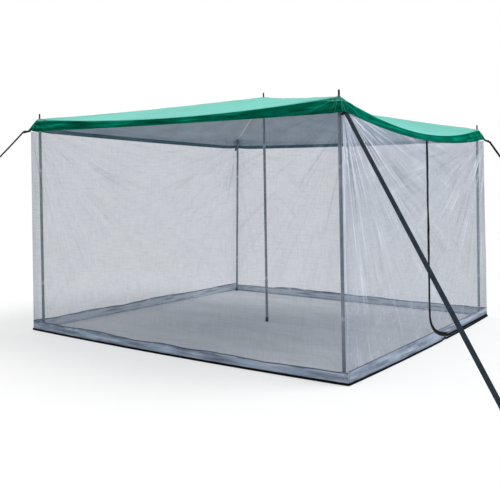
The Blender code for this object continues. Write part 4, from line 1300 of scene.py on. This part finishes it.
bandValues = {
    "rows": 9, "step": 0.02, "crumpleDepth": 0.0085, "thickness": 0.0006, "slump": 0.022,
    "creases": ((5.5, 9, 0), (15, 22, 9), (38, 45, 19)),
}
bandLook = {
    "dark": (104, 118, 138), "light": (150, 168, 190), "threadColour": (176, 190, 208), "threadTone": 0.2,
    "roughness": 0.42, "roughSpread": 0.12, "driftSize": 0.16, "stretch": 0.35, "specular": 0.3,
    "seamTone": 0.8, "seamColour": (50, 60, 76), "seamSpan": (0.007, 0.011), "rays": 13.0, "reach": 0.3,
    "streakRate": (2.2, 34.0, 1.0),
    # The streak and fold colours are painted shade and painted highlights
    "paintedStreaks": ((0.5, 0.36, 0.55, (58, 67, 84)), (0.52, 0.66, 0.45, (206, 216, 230))),
    "folds": (("Dark", 0.85, (52, 60, 75)), ("Light", 0.6, (208, 218, 231))),
    "threads": 900.0, "creaseDepth": 0.008, "puckerDepth": 0.003, "threadDepth": 0.0002,
}
# The band's inner face: the same cloth painted much lighter, a painted glow of the light that comes through
# it
bandInnerPaintedGlowLook = {**bandLook, "dark": (214, 222, 230), "light": (236, 241, 246)}


def bandMaterial(name, look):
    # A darker seam runs along the top, where net and band are sewn together
    material, sockets, colour = clothMaterial(name, look)
    seam = remap(readMark("fromTop"), *look["seamSpan"], look["seamTone"], 0.0)
    # Painted shade and painted highlights in streaks along the band's crumples
    streak = noiseAt(vectorCalc("MULTIPLY", uvPlace(), look["streakRate"]), 1.0, 3.0)
    for low, high, tone, shade in look["paintedStreaks"]:
        colour = mixColour(remap(streak, low, high) * tone, colour, shade)
    colour = mixColour(seam, colour, look["seamColour"])
    # Painted shade and painted highlights in creases that fan from the band's ends
    for along in (0.0, wallWidth):
        centre = (along, 0.0, 0.0)
        inputs = {"Place": uvPlace(), "Centre": centre, "Rays": look["rays"], "Reach": look["reach"]}
        creases = useGroup(rayGroup, inputs)
        for label, tone, shade in look["folds"]:
            colour = mixColour(creases[label] * tone, colour, shade)
    wire(colour, sockets["Base Color"])
    return material


bandCloths = (bandMaterial("mudWallCloth", bandLook), bandMaterial("mudWallInnerPaintedGlow", bandInnerPaintedGlowLook))


def crumple(along, height, seed, part):
    # Sharp-crested creases, still at the seams above and below
    first, second, third = (wave(along * x, height * y, seed + z) for x, y, z in bandValues["creases"])
    depth = 0.6 * (1 - abs(first) * 3) + 0.5 * second + 0.2 * third
    return bandValues["crumpleDepth"] * depth * math.sin(math.pi * part) ** 0.7


def addBand(name, start, end, lowAt, highAt, place, face, seed):
    count = max(8, int((end - start) / bandValues["step"]))
    rows, flats, drops = [], [], []
    for row in range(bandValues["rows"] + 1):
        part = row / bandValues["rows"]
        points, flat = [], []
        for k in range(count + 1):
            along = start + (end - start) * k / count
            low, high = lowAt(along), highAt(along)
            height = low + (high - low) * part
            near = smooth(min(along - start, end - along) / 0.03) * min(1, (high - low) / 0.06)
            points.append(place(along, height) + face * crumple(along, height, seed, part) * near)
            flat.append((along, height))
            drops.append(high - height)
        rows.append(points)
        flats.append(flat)
    made = addGrid(name, rows, flats, bandCloths)
    mark(made, "fromTop", drops)
    thicken(made, bandValues["thickness"], inside=1)
    return made


def bandTop(seed):
    def top(along):
        slump = 0.5 - 0.7 * wave(along * 2.3, seed, 0.7) - 0.3 * wave(along * 7, seed, 3.7)
        return tent["bandHeight"] - bandValues["slump"] * min(1, max(0, slump))
    return top


for seed, side in ((1.5, "front"), (6.5, "left"), (12.5, "back")):
    band = addBand(
        "mudWall_" + side, cornerGap, wallWidth - cornerGap, lambda a: sheetTop, bandTop(seed),
        lambda a, h, side=side: wallPoint(side, a / wallWidth, h), outwards[side], seed,
    )
    settle(band, "mudwall_" + side)
shoulder = lineAtHeight(wallZipLine, tent["bandHeight"])


def doorBandTop(along):
    return tent["bandHeight"] if along < shoulder else lineAtPlace(wallZipLine, along)


doorSideBand = addBand(
    "mudWallDoorSide", cornerGap, doorEdge(1, 0.01), lambda a: sheetTop, doorBandTop,
    doorPoint, doorFace, 18.5,
)
settle(doorSideBand, "mudwall_door_side")
doorFlapBand = addBand(
    "mudWallDoorFlap", lineAtHeight(flapZipLine, tent["bandHeight"]), doorEdge(1, 0.06),
    lambda a: lineAtPlace(flapZipLine, a), lambda a: tent["bandHeight"], doorPoint, doorFace, 25.5,
)
blendFlap(doorFlapBand, "mudwall_door_flap")
print("mud wall bands made")

# Groundsheet and the binding round its edge

sheetValues = {"steps": 150, "wrinkleDepth": 0.0045, "edgeTop": 0.0014, "thickness": 0.001, "capClear": 0.05}
sheetLook = {
    "dark": (224, 225, 226), "light": (238, 239, 240), "threadColour": (236, 237, 239), "threadTone": 0.3,
    "roughness": 0.6, "roughSpread": 0.1, "driftSize": 0.3, "stretch": 0.3, "specular": 0.15,
    "threads": 700.0, "creaseDepth": 0.016, "puckerDepth": 0.009, "threadDepth": 0.0003,
}
sheetCloth = clothMaterial("groundsheetCloth", sheetLook)[0]
centreFoot = Vector((tent["centreFoot"], 0, 0))


def sheetPoint(x, y):
    edge = sheetHalf - max(abs(x), abs(y))
    point = Vector((x, y, 0))
    caps = min((point - foot).length for foot in [*feet.values(), centreFoot])
    slow = wave(x * 1.7, y * 1.7, 0.3) + 0.6 * wave(x * 4.3, y * 3.1, 4.3)
    ridge = 1 - min(1, abs(wave(x * 2.2 + 5, y * 2.2, 8.3)) * 9)
    rise = max(-0.1, 0.45 * slow + 0.5 * ridge) * sheetValues["wrinkleDepth"]
    rise *= smooth((caps - 0.02) / sheetValues["capClear"]) * smooth(edge / 0.12)
    point.z = sheetValues["edgeTop"] + (clothDepth - sheetValues["edgeTop"]) * smooth(edge / 0.03) + rise
    # The edge bows out with the walls
    for side, out in outwards.items():
        across, reach = (x * out.y - y * out.x) / sheetHalf, (x * out.x + y * out.y) / sheetHalf
        point += out * (footBow(side, (across + 1) / 2, 0) * max(0, reach) ** 6)
    return point


def addGroundsheet():
    count = sheetValues["steps"]
    stations = [sheetHalf * math.sin(math.pi / 2 * (2 * k / count - 1)) for k in range(count + 1)]
    rows = [[sheetPoint(x, y) for x in stations] for y in stations]
    places = [[(x, y) for x in stations] for y in stations]
    sheet = addGrid("groundsheetSheet", rows, places, sheetCloth)
    return settle(thicken(sheet, sheetValues["thickness"]), "groundsheet")


groundSheet = addGroundsheet()
bindingValues = {
    "height": 0.0165, "width": 0.0056, "cornerRadius": 0.0103, "sideSteps": 160, "arcSteps": 10,
    "overlap": 0.0006, "round": 14, "ripple": 0.0012, "loopRise": 0.015, "loopPlace": 0.18,
    "loopWidth": 0.035, "stitch": (0.008, 0.0055, 0.0011), "stitchRise": 0.72, "stitchOut": 0.47,
}
bindingLook = {
    "dark": (5, 5, 7), "light": (12, 13, 16), "threadColour": (22, 24, 28), "threadTone": 0.4,
    "roughness": 0.75, "roughSpread": 0.1, "driftSize": 0.05, "stretch": 1.0, "specular": 0.03,
    "threads": 1300.0, "creaseDepth": 0.0008, "puckerDepth": 0.0005, "threadDepth": 0.0002,
}
bindingCloth = clothMaterial("blackBinding", bindingLook)[0]


def bindingPath():
    # Points round the groundsheet's edge, each with the way out
    values = bindingValues
    radius, steps, arcSteps = (values[key] for key in ("cornerRadius", "sideSteps", "arcSteps"))
    reach = sheetHalf + seatGap + values["width"] / 2 - values["overlap"]
    path = []
    for side, out in outwards.items():
        along = up.cross(out)
        for k in range(steps):
            place = -(reach - radius) + 2 * (reach - radius) * k / steps
            stand = footBow(side, (place / reach + 1) / 2, 0)
            path.append((out * (reach + stand) + along * place, out))
        middle = (out + along) * (reach - radius)
        for k in range(arcSteps):
            turn = math.radians(90) * k / arcSteps
            way = out * math.cos(turn) + along * math.sin(turn)
            path.append((middle + way * radius, way))
    return path


def bindingLift(point):
    # It ripples a little off the ground, and stands up in a small loop beside the door
    values = bindingValues
    lift = values["ripple"] * (0.5 + 0.5 * wave(point.x * 5, point.y * 5, 2.2))
    if point.x > half:
        lift += values["loopRise"] * math.exp(-(((point.y - values["loopPlace"]) / values["loopWidth"]) ** 2))
    return lift


def squared(value):
    return math.copysign(abs(value) ** 0.6, value)


def addBinding():
    wide, high, count = (bindingValues[key] for key in ("width", "height", "round"))
    path = bindingPath()
    turns = [math.tau * k / count for k in range(count)]
    runs = runsAlong([point for point, way in path])
    rows = []
    for point, way in path:
        rise = high / 2 + seatGap + bindingLift(point)
        thick = 1 + 0.15 * wave(point.x * 9, point.y * 9, 6.6)
        spots = [(squared(math.cos(t)) * wide / 2 * thick, squared(math.sin(t)) * high / 2) for t in turns]
        rows.append([point + way * a + up * (b + rise) for a, b in spots])
    rows.append([p.copy() for p in rows[0]])
    places = [[(turn / math.tau * 0.034, run) for turn in turns] for run in [*runs, runs[-1] + 0.01]]
    binding = addGrid("hemBinding", rows, places, bindingCloth, loops=True)
    closeUp(binding, weld=0.00001)
    binding.data.shade_smooth()
    return settle(binding, "hem_binding")


hemBinding = addBinding()
bindingLine = []
for point, way in bindingPath():
    rise = bindingLift(point) + bindingValues["height"] * bindingValues["stitchRise"]
    out = bindingValues["width"] * bindingValues["stitchOut"]
    bindingLine.append((point + way * out + up * rise, way))
bindingStitches = settle(sew("bindingStitches", [bindingLine], "black_binding", *bindingValues["stitch"]))
print("groundsheet and binding made")

# Zip: two tapes with their teeth, the slider and its pull

zipValues = {
    "thickness": 0.0008, "toothPitch": 0.0036, "toothStart": 0.02, "across": 4, "rollRound": 12,
    "rollWidth": 0.0055, "rollDepth": 0.0085, "rollWave": 0.0035, "rollOff": 0.0128, "toothOff": 0.0004,
    "stitchOff": 0.0105, "stitchLift": 0.0005, "stitch": (0.006, 0.0042),
    "facedFrom": 1.84, "facedOver": 0.12, "facedTone": 0.9, "facedColour": (128, 143, 164),
}
tapeLook = {
    "dark": (5, 5, 7), "light": (13, 14, 17), "threadColour": (22, 24, 28), "threadTone": 0.4,
    "roughness": 0.7, "roughSpread": 0.1, "driftSize": 0.04, "stretch": 1.0, "specular": 0.04,
    "threads": 1500.0, "creaseDepth": 0.0004, "puckerDepth": 0.0003, "threadDepth": 0.0002,
}
enamelLook = {
    "dark": (14, 14, 16), "light": (58, 60, 64), "roughness": 0.32, "metallic": 0.6, "specular": 0.2,
    "driftSize": 0.006, "toneSpan": (0.45, 0.75), "roughSpan": (0.25, 0.42), "bumpDepth": 0.0,
}
tapeCloth = clothMaterial("zipTapeCloth", tapeLook)[0]
# Along the ground the flap's tape is faced with the mud wall's cloth
facedTape, facedSockets, facedColour = clothMaterial("facedTapeCloth", tapeLook)
facedEnd = zipValues["facedFrom"] + zipValues["facedOver"]
faced = remap(separate(uvPlace())[1], zipValues["facedFrom"], facedEnd, 0.0, zipValues["facedTone"])
wire(mixColour(faced, facedColour, zipValues["facedColour"]), facedSockets["Base Color"])
zipBlack = hardMaterial("zipEnamel", enamelLook)


def addTape(name, near, far, cloth):
    count = zipValues["across"]
    lines = [zipLine(near + (far - near) * k / count) for k in range(count + 1)]
    rows = [[doorPoint(line[k].x, line[k].y) for line in lines] for k in range(len(lines[0]))]
    places = [[(j * 0.003, run) for j in range(count + 1)] for run in runsAlong(lines[0])]
    return thicken(addGrid(name, rows, places, cloth), zipValues["thickness"], offset=0)


def onDoor(distance, lift=0.0):
    return [(doorPoint(p.x, p.y) + doorFace * lift, doorFace) for p in zipLine(distance)]


def addTeeth(name, offset, start):
    values = {"Pitch": zipValues["toothPitch"], "Start": start, "Finish": zipBlack}
    return addRun(name, [onDoor(offset)], toothTree, values, smoothed=False)


def addRoll(name, distance, cloth):
    # The net's edge is rolled into a narrow binding along each tape
    line, count = zipLine(distance), zipValues["rollRound"]
    runs = runsAlong(line)
    rows = []
    for k, (place, run) in enumerate(zip(line, runs)):
        way = wayAt(line, k)
        lift = wave(run * 6.5, distance * 90, 3.3) * zipValues["rollWave"] * smooth((run - 0.03) / 0.1)
        size = 1 + 0.3 * wave(run * 16, distance * 90, 8.8)
        row = []
        for turn in (math.tau * j / count for j in range(count)):
            a = math.cos(turn) * zipValues["rollWidth"] / 2 * size
            b = math.sin(turn) * zipValues["rollDepth"] / 2 * size + lift
            row.append(doorPoint(place.x - way.y * a, place.y + way.x * a, b))
        rows.append(row)
    places = [[(j * 0.0015, run) for j in range(count)] for run in runs]
    return closeUp(addGrid(name, rows, places, cloth, loops=True, caps=True))


def addZipSeam(name, offset):
    seam = onDoor(offset, zipValues["stitchLift"])
    return sew(name, [seam], "zip_tape_cloth", *zipValues["stitch"])


chainEdge, tapeEdge = doorValues["chainGap"] / 2, doorValues["tapeWidth"]
wallRoll, flapRoll = (
    addRoll("zipRoll" + label, sign * zipValues["rollOff"], cloth)
    for label, sign, cloth in (("Wall", -1, tapeCloth), ("Flap", 1, facedTape))
)
wallTape = addTape("zipTapeWall", -tapeEdge, -chainEdge, tapeCloth)
flapTape = addTape("zipTapeFlap", chainEdge, tapeEdge, facedTape)
wallTeeth = addTeeth("zipTeethWall", -zipValues["toothOff"], zipValues["toothStart"])
halfPitch = zipValues["toothPitch"] / 2
flapTeeth = addTeeth("zipTeethFlap", zipValues["toothOff"], zipValues["toothStart"] + halfPitch)
wallSeam = addZipSeam("zipStitchesWall", -zipValues["stitchOff"])
flapSeam = addZipSeam("zipStitchesFlap", zipValues["stitchOff"])
settle(wallTape, "zip_tape_wall")
blendFlap(flapTape, "zip_tape_flap", "zip_tape_top")
for piece in (wallTeeth, wallRoll, wallSeam):
    settle(piece)
for piece in (flapTeeth, flapRoll, flapSeam):
    blendFlap(piece)

sliderValues = {
    "width": 0.011, "length": 0.022, "plate": 0.0018, "clearance": 0.0004, "tape": 0.0015, "stopGap": 0.003,
    "bailHeight": 0.005, "bailWire": 0.0008, "bailHalf": 0.0045, "sunk": 0.0006, "pullWidth": 0.007,
    "pullLength": 0.034, "pullThickness": 0.0014, "pullClearance": 0.0006, "neck": 0.008,
    "outline": ((0.6, -1), (0.72, -0.55), (1.0, 0.1), (0.94, 0.8), (0.5, 1)), "postTop": 0.0004,
}
sliderHeight = zipTop - sliderValues["stopGap"] - sliderValues["length"] / 2
sliderMiddle = doorPoint(zipAlong, sliderHeight)
doorTurn = Matrix.Rotation(doorTilt, 4, "Y")


def ringMesh(rings):
    # A closed body from rings that each have as many points
    bm = bmesh.new()
    rings = [[bm.verts.new(point) for point in ring] for ring in rings]
    for low, high in zip(rings, rings[1:]):
        for k in range(len(low)):
            n = (k + 1) % len(low)
            bm.faces.new((low[k], low[n], high[n], high[k]))
    bm.faces.new(rings[0][::-1])
    bm.faces.new(rings[-1])
    bmesh.ops.recalc_face_normals(bm, faces=bm.faces)
    return bm


def slab(outline, low, high):
    # A flat plate from its outline of (across, up) points, between two depths
    bm = ringMesh([[(x, y, z) for y, z in outline] for x in (low, high)])
    edges = [e for e in bm.edges if abs(e.verts[0].co.x - e.verts[1].co.x) < 1e-9]
    bmesh.ops.bevel(bm, geom=edges, offset=0.0003, segments=2, affect="EDGES", profile=0.6)
    return bm


def joined(name, meshes, matrix):
    whole = bmesh.new()
    for one in meshes:
        loose = bpy.data.meshes.new("loose")
        one.to_mesh(loose)
        one.free()
        whole.from_mesh(loose)
        bpy.data.meshes.remove(loose)
    bmesh.ops.transform(whole, matrix=matrix, verts=whole.verts)
    mesh = bpy.data.meshes.new(name)
    whole.to_mesh(mesh)
    whole.free()
    mesh.materials.append(zipBlack)
    mesh.shade_smooth()
    mesh.set_sharp_from_angle(angle=math.radians(35))
    made = addObject(name, mesh)
    return made


def wireMesh(path, radius, count=10):
    rings = []
    for k, point in enumerate(path):
        along = wayAt(path, k)
        side = along.cross(Vector((1, 0, 0)))
        side = side.normalized() if side.length > 0.3 else Vector((0, 0, 1))
        other = along.cross(side)
        turns = (math.tau * j / count for j in range(count))
        rings.append([point + (side * math.cos(t) + other * math.sin(t)) * radius for t in turns])
    return ringMesh(rings)


def addSlider():
    v = sliderValues
    wide, tall = v["width"] / 2, v["length"] / 2
    inner = v["tape"] / 2 + v["clearance"]
    outer = inner + v["plate"]
    outline = [(a * wide, b * tall) for a, b in v["outline"]]
    outline += [(-a, b) for a, b in reversed(outline)]
    postLow, postHigh = tall - 0.006, tall - v["postTop"]
    post = [(-0.0007, postLow), (0.0007, postLow), (0.0011, postHigh), (-0.0011, postHigh)]
    bail = []
    for turn in (math.pi * k / 12 for k in range(13)):
        x = outer - v["sunk"] + (v["bailHeight"] + v["sunk"] - v["bailWire"]) * math.sin(turn) ** 0.5
        bail.append(Vector((x, -math.cos(turn) * v["bailHalf"], 0)))
    meshes = [
        slab(outline, inner, outer), slab(outline, -outer, -inner),
        slab(post, -inner - 0.0009, inner + 0.0009), wireMesh(bail, v["bailWire"]),
    ]
    slider = joined("zipSlider", meshes, Matrix.Translation(sliderMiddle) @ doorTurn)
    settle(slider, "zip_slider", body="zip_slider")
    return outer + v["bailHeight"]


def addPull(bailTop):
    # A ring round the bail, drawn in to a flat tongue with a rounded end and ribs
    v = sliderValues
    ring = v["bailWire"] + v["pullClearance"] + v["pullThickness"] / 2
    wide, thick = v["pullWidth"] / 2 - v["pullClearance"], v["pullThickness"] / 2
    length, neck = v["pullLength"], v["neck"]
    turns = [math.radians(-60 + 300 * k / 16) for k in range(17)]
    loop = [Vector((ring * math.cos(turn), ring * math.sin(turn))) for turn in turns]
    loop.append(Vector((0, -ring * 1.6)))
    loopRings = []
    for k, spot in enumerate(loop):
        way = wayAt(loop, k)
        edge = ((-1, -1), (1, -1), (1, 1), (-1, 1))
        spots = [(spot.x + way.y * thick * b, a * wide * 0.8, spot.y - way.x * thick * b) for a, b in edge]
        loopRings.append(spots)
    tongueRings = []
    for z in [-ring * 0.9, -ring * 1.6, -neck] + [-neck - (length - neck) * k / 14 for k in range(1, 15)]:
        share, end = min(1, max(0, (-z - 0.004) / 0.006)), min(1, max(0, (length + z) / 0.003))
        reach = wide * (0.7 + 0.3 * share) * (math.sqrt(1 - (1 - end) ** 2) * 0.75 + 0.25)
        ribbed = 0.75 if -0.028 < z < -0.014 and int(-z * 1000) % 2 else 1.0
        edge = ((-1, -0.5), (-0.8, -1), (0.8, -1), (1, -0.5), (1, 0.5), (0.8, 1), (-0.8, 1), (-1, 0.5))
        tongueRings.append([(b * thick * (ribbed if abs(a) < 0.9 else 1.0), a * reach, z) for a, b in edge])
    # The pull hangs straight down from the bail, whatever way the wall leans
    pivot = sliderMiddle + doorTurn.to_3x3() @ Vector((bailTop - v["bailWire"], 0, 0))
    pull = joined("zipPull", [ringMesh(loopRings), ringMesh(tongueRings)], Matrix.Translation(pivot))
    settle(pull, "zip_pull", body="zip_pull")


addPull(addSlider())
print("zip made")

# Poles: plugged steel tubes with a rubbery foot and a spiked top, and an eyelet over each

poleValues = {
    "radius": 0.012, "slimRadius": 0.0095, "wall": 0.001, "spigot": 0.05, "spigotClear": 0.0003,
    "lower": 0.42, "upper": 0.45, "spikeRadius": 0.0065, "spikeRise": 0.043, "collar": 0.008,
    "capRadius": 0.015, "capHeight": 0.04, "capBase": 0.004, "edge": 0.0008,
    "eyeletHole": 0.0072, "eyeletRadius": 0.0128, "eyeletThickness": 0.0012,
}
steelLook = {
    "dark": (116, 120, 117), "light": (140, 144, 140), "drawn": (136, 144, 144), "worn": (206, 210, 214),
    "roughness": 0.3, "metallic": 0.5, "specular": 0.3, "driftSize": 0.05, "drawnRate": (90.0, 90.0, 3.0),
    "drawnScale": 6.0, "drawnTone": 0.4, "roughSpan": (0.24, 0.4), "bumpDepth": 0.0001,
}
plasticLook = {
    "dark": (2, 2, 3), "light": (13, 13, 15), "roughness": 0.5, "metallic": 0.0, "specular": 0.04,
    "driftSize": 0.012, "toneSpan": (0.4, 0.75), "roughSpan": (0.42, 0.62), "bumpDepth": 0.0002,
}
eyeletLook = {
    "dark": (186, 190, 188), "light": (140, 143, 140), "roughness": 0.28, "metallic": 1.0, "specular": 0.2,
    "driftSize": 0.004, "toneSpan": (0.35, 0.75), "roughSpan": (0.2, 0.4), "bumpDepth": 0.0,
}


def steelMaterial(look):
    material, sockets = newMaterial("poleSteel", look["roughness"], look["metallic"], look["specular"])
    place = objectPlace()
    drift = useGroup(driftGroup, {"Place": place, "Size": look["driftSize"], "Stretch": 1.0})
    drawn = noiseAt(vectorCalc("MULTIPLY", place, look["drawnRate"]), look["drawnScale"], 3.0)
    colour = mixColour(remap(drift["Broad"], 0.3, 0.7), look["dark"], look["light"])
    colour = mixColour(remap(drawn, 0.35, 0.7, 0.0, look["drawnTone"]), colour, look["drawn"])
    wire(mixColour(readMark("endMark"), colour, look["worn"]), sockets["Base Color"])
    wire(remap(drawn, 0.3, 0.7, *look["roughSpan"]), sockets["Roughness"])
    bump(sockets, drawn, look["bumpDepth"])
    return material


poleSteel = steelMaterial(steelLook)
blackPlastic, eyeletMetal = hardMaterial("blackPlastic", plasticLook), hardMaterial("eyeletMetal", eyeletLook)


def addPole(name, foot, top, upperRadius):
    v = poleValues
    radius, wall, edge, cap, high, spike = (
        v[key] for key in ("radius", "wall", "edge", "capRadius", "capHeight", "spikeRadius")
    )
    axis = (top - foot).normalized()
    tilt = math.acos(axis.z)
    base = foot + up * (sheetTop + cap * math.sin(tilt))
    head = (top - up * (clothDepth + seatGap + upperRadius * math.sin(tilt)) - base).dot(axis)
    bore = radius - wall
    spigot = bore - v["spigotClear"]
    lowJoint, highJoint, upperEnd = v["lower"], head - v["upper"], head - v["collar"] - seatGap

    def plugIn(start, stop, size):
        # A tube from start to stop, whose lower end is drawn in to a spigot
        big = max(size, spigot)
        return [
            (spigot - 0.0006, start - v["spigot"]), (spigot, start - v["spigot"] + 0.001), (spigot, start),
            (big - edge / 2, start + 0.0004), (big, start + 0.0016), (big, start + 0.02),
            (big, (start + stop) / 2), (big, stop - 0.02), (big, stop - edge), (big - edge / 2, stop),
            (big - wall, stop), (big - wall, start + 0.004), (spigot - wall, start + 0.002),
            (spigot - wall, start - v["spigot"]),
        ]

    capBore, capBase = radius + seatGap, v["capBase"]
    capProfile = [
        (0, 0), (cap - 0.0022, 0), (cap - 0.0006, 0.0006), (cap, 0.0022), (cap, 0.012),
        (cap - 0.0006, 0.0128), (cap - 0.0006, 0.0142), (cap, 0.015), (cap, high - 0.001),
        (cap - 0.0008, high), (capBore, high), (capBore, capBase), (0, capBase),
    ]
    low, lowEnd = capBase + seatGap, lowJoint - seatGap
    lowerProfile = [
        (radius, low), (radius, 0.2), (radius, lowJoint - 0.02), (radius, lowEnd - edge),
        (radius - edge / 2, lowEnd), (bore, lowEnd), (bore, low),
    ]
    plug = max(upperRadius, spigot) - wall - v["spigotClear"]
    collar, tip = upperEnd + seatGap, head + clothDepth + v["spikeRise"]
    spikeProfile = [
        (0, upperEnd - 0.02), (plug - 0.0005, upperEnd - 0.02), (plug, upperEnd - 0.0195), (plug, collar),
        (upperRadius - 0.0004, collar), (upperRadius, upperEnd + 0.0008), (upperRadius, head - 0.0012),
        (upperRadius - 0.0012, head), (spike, head), (spike, tip - 0.004), (spike * 0.85, tip - 0.0018),
        (spike * 0.5, tip - 0.0004), (0, tip),
    ]
    for label, node, profile, ends in (
        ("footCap_", "foot_cap_", capProfile, ()), ("poleLower_", "pole_lower_", lowerProfile, (lowJoint,)),
        ("poleMiddle_", "pole_middle_", plugIn(lowJoint, highJoint - seatGap, radius), (lowJoint, highJoint)),
        ("poleUpper_", "pole_upper_", plugIn(highJoint, upperEnd, upperRadius), (highJoint,)),
        ("poleSpike_", "pole_spike_", spikeProfile, ()),
    ):
        finish = (poleSteel, "pole_steel") if ends else (blackPlastic, "black_plastic")
        settle(turned(label + name, profile, base, base + axis, *finish, ends=ends), node + name)


def addEyelet(name, top):
    hole, rim, thick = (poleValues[key] for key in ("eyeletHole", "eyeletRadius", "eyeletThickness"))
    middle, reach = (hole + rim) / 2, (rim - hole) / 2
    turns = [math.pi * k / 12 for k in range(13)]
    profile = [(middle + reach * math.cos(turn), thick * math.sin(turn) ** 0.6) for turn in turns]
    foot = top + up * seatGap
    ring = turned("eyelet_" + name + "_ring", profile, foot, foot + up, eyeletMetal, "eyelet_metal", 36)
    return settle(ring, "eyelet_" + name)


for corner in cornerSigns:
    addPole(corner, feet[corner], tops[corner], poleValues["radius"])
    addEyelet(corner, tops[corner])
addPole("centre", centreFoot, peak, poleValues["slimRadius"])
addEyelet("centre", peak)
print("poles and eyelets made")

# Stage: a pale floor under a white sky, a soft sun and the sky's own light

stageValues = {
    "floorReach": 60.0, "floorDrop": 0.0006, "floorTone": 0.97,
    "clearFrom": 2.4, "clearTo": 5.5, "clearLeast": 0.45,
}
lightValues = {"skyStrength": 0.82, "sunStrength": 1.2, "sunAngle": 30, "sunBearing": 42, "sunHeight": 52}


def seenByEye():
    path = addNode("ShaderNodeLightPath").outputs
    kinds = ("Camera", "Glossy", "Transmission")
    camera, glossy, clear = (nodeValue(path[f"Is {kind} Ray"]) for kind in kinds)
    return calc("MAXIMUM", calc("MAXIMUM", camera, glossy), clear)


def addStage():
    values = stageValues
    reach, tone = values["floorReach"], values["floorTone"]
    mesh = bpy.data.meshes.new("floor")
    spots = [(-reach, -reach), (reach, -reach), (reach, reach), (-reach, reach)]
    mesh.from_pydata([(x, y, -values["floorDrop"]) for x, y in spots], [], [(0, 1, 2, 3)])
    floor = addObject("floor", mesh)
    material, sockets = newMaterial("floorPaint", 0.9, specular=0.0)
    sockets["Base Color"].default_value = (tone, tone, tone, 1)
    distance = vectorCalc("LENGTH", objectPlace())
    clear = remap(distance, values["clearFrom"], values["clearTo"], values["clearLeast"])
    glow = valueOf("ShaderNodeEmission", {"Strength": 1.0})
    nodes = material.node_tree.nodes
    plain = nodeValue(nodes["Principled BSDF"].outputs[0])
    mixed = valueOf("ShaderNodeMixShader", {0: seenByEye() * clear, 1: plain, 2: glow})
    wire(mixed, nodes["Material Output"].inputs["Surface"])
    mesh.materials.append(material)


def addLights():
    values = lightValues
    world = bpy.context.scene.world = bpy.data.worlds.new("studio")
    world.use_nodes = True
    current["tree"] = world.node_tree
    sky = world.node_tree.nodes["Background"].inputs
    sky["Color"].default_value = (1, 1, 1, 1)
    wire(seenByEye() * (1.0 - values["skyStrength"]) + values["skyStrength"], sky["Strength"])
    lamp = bpy.data.lights.new("softSun", "SUN")
    lamp.energy = values["sunStrength"]
    lamp.angle = math.radians(values["sunAngle"])
    bearing, height = (math.radians(values[key]) for key in ("sunBearing", "sunHeight"))
    level = math.cos(height)
    towards = Vector((math.cos(bearing) * level, math.sin(bearing) * level, math.sin(height)))
    addObject("softSun", lamp).rotation_euler = towards.to_track_quat("Z", "Y").to_euler()


addStage()
addLights()
bpy.context.scene.view_settings.view_transform = "Standard"
print("stage and lights set")

# Sizes of some cloth pieces, computed and left unused

wallWidth - zipAlong
2 * sheetHalf
2 * sheetHalf
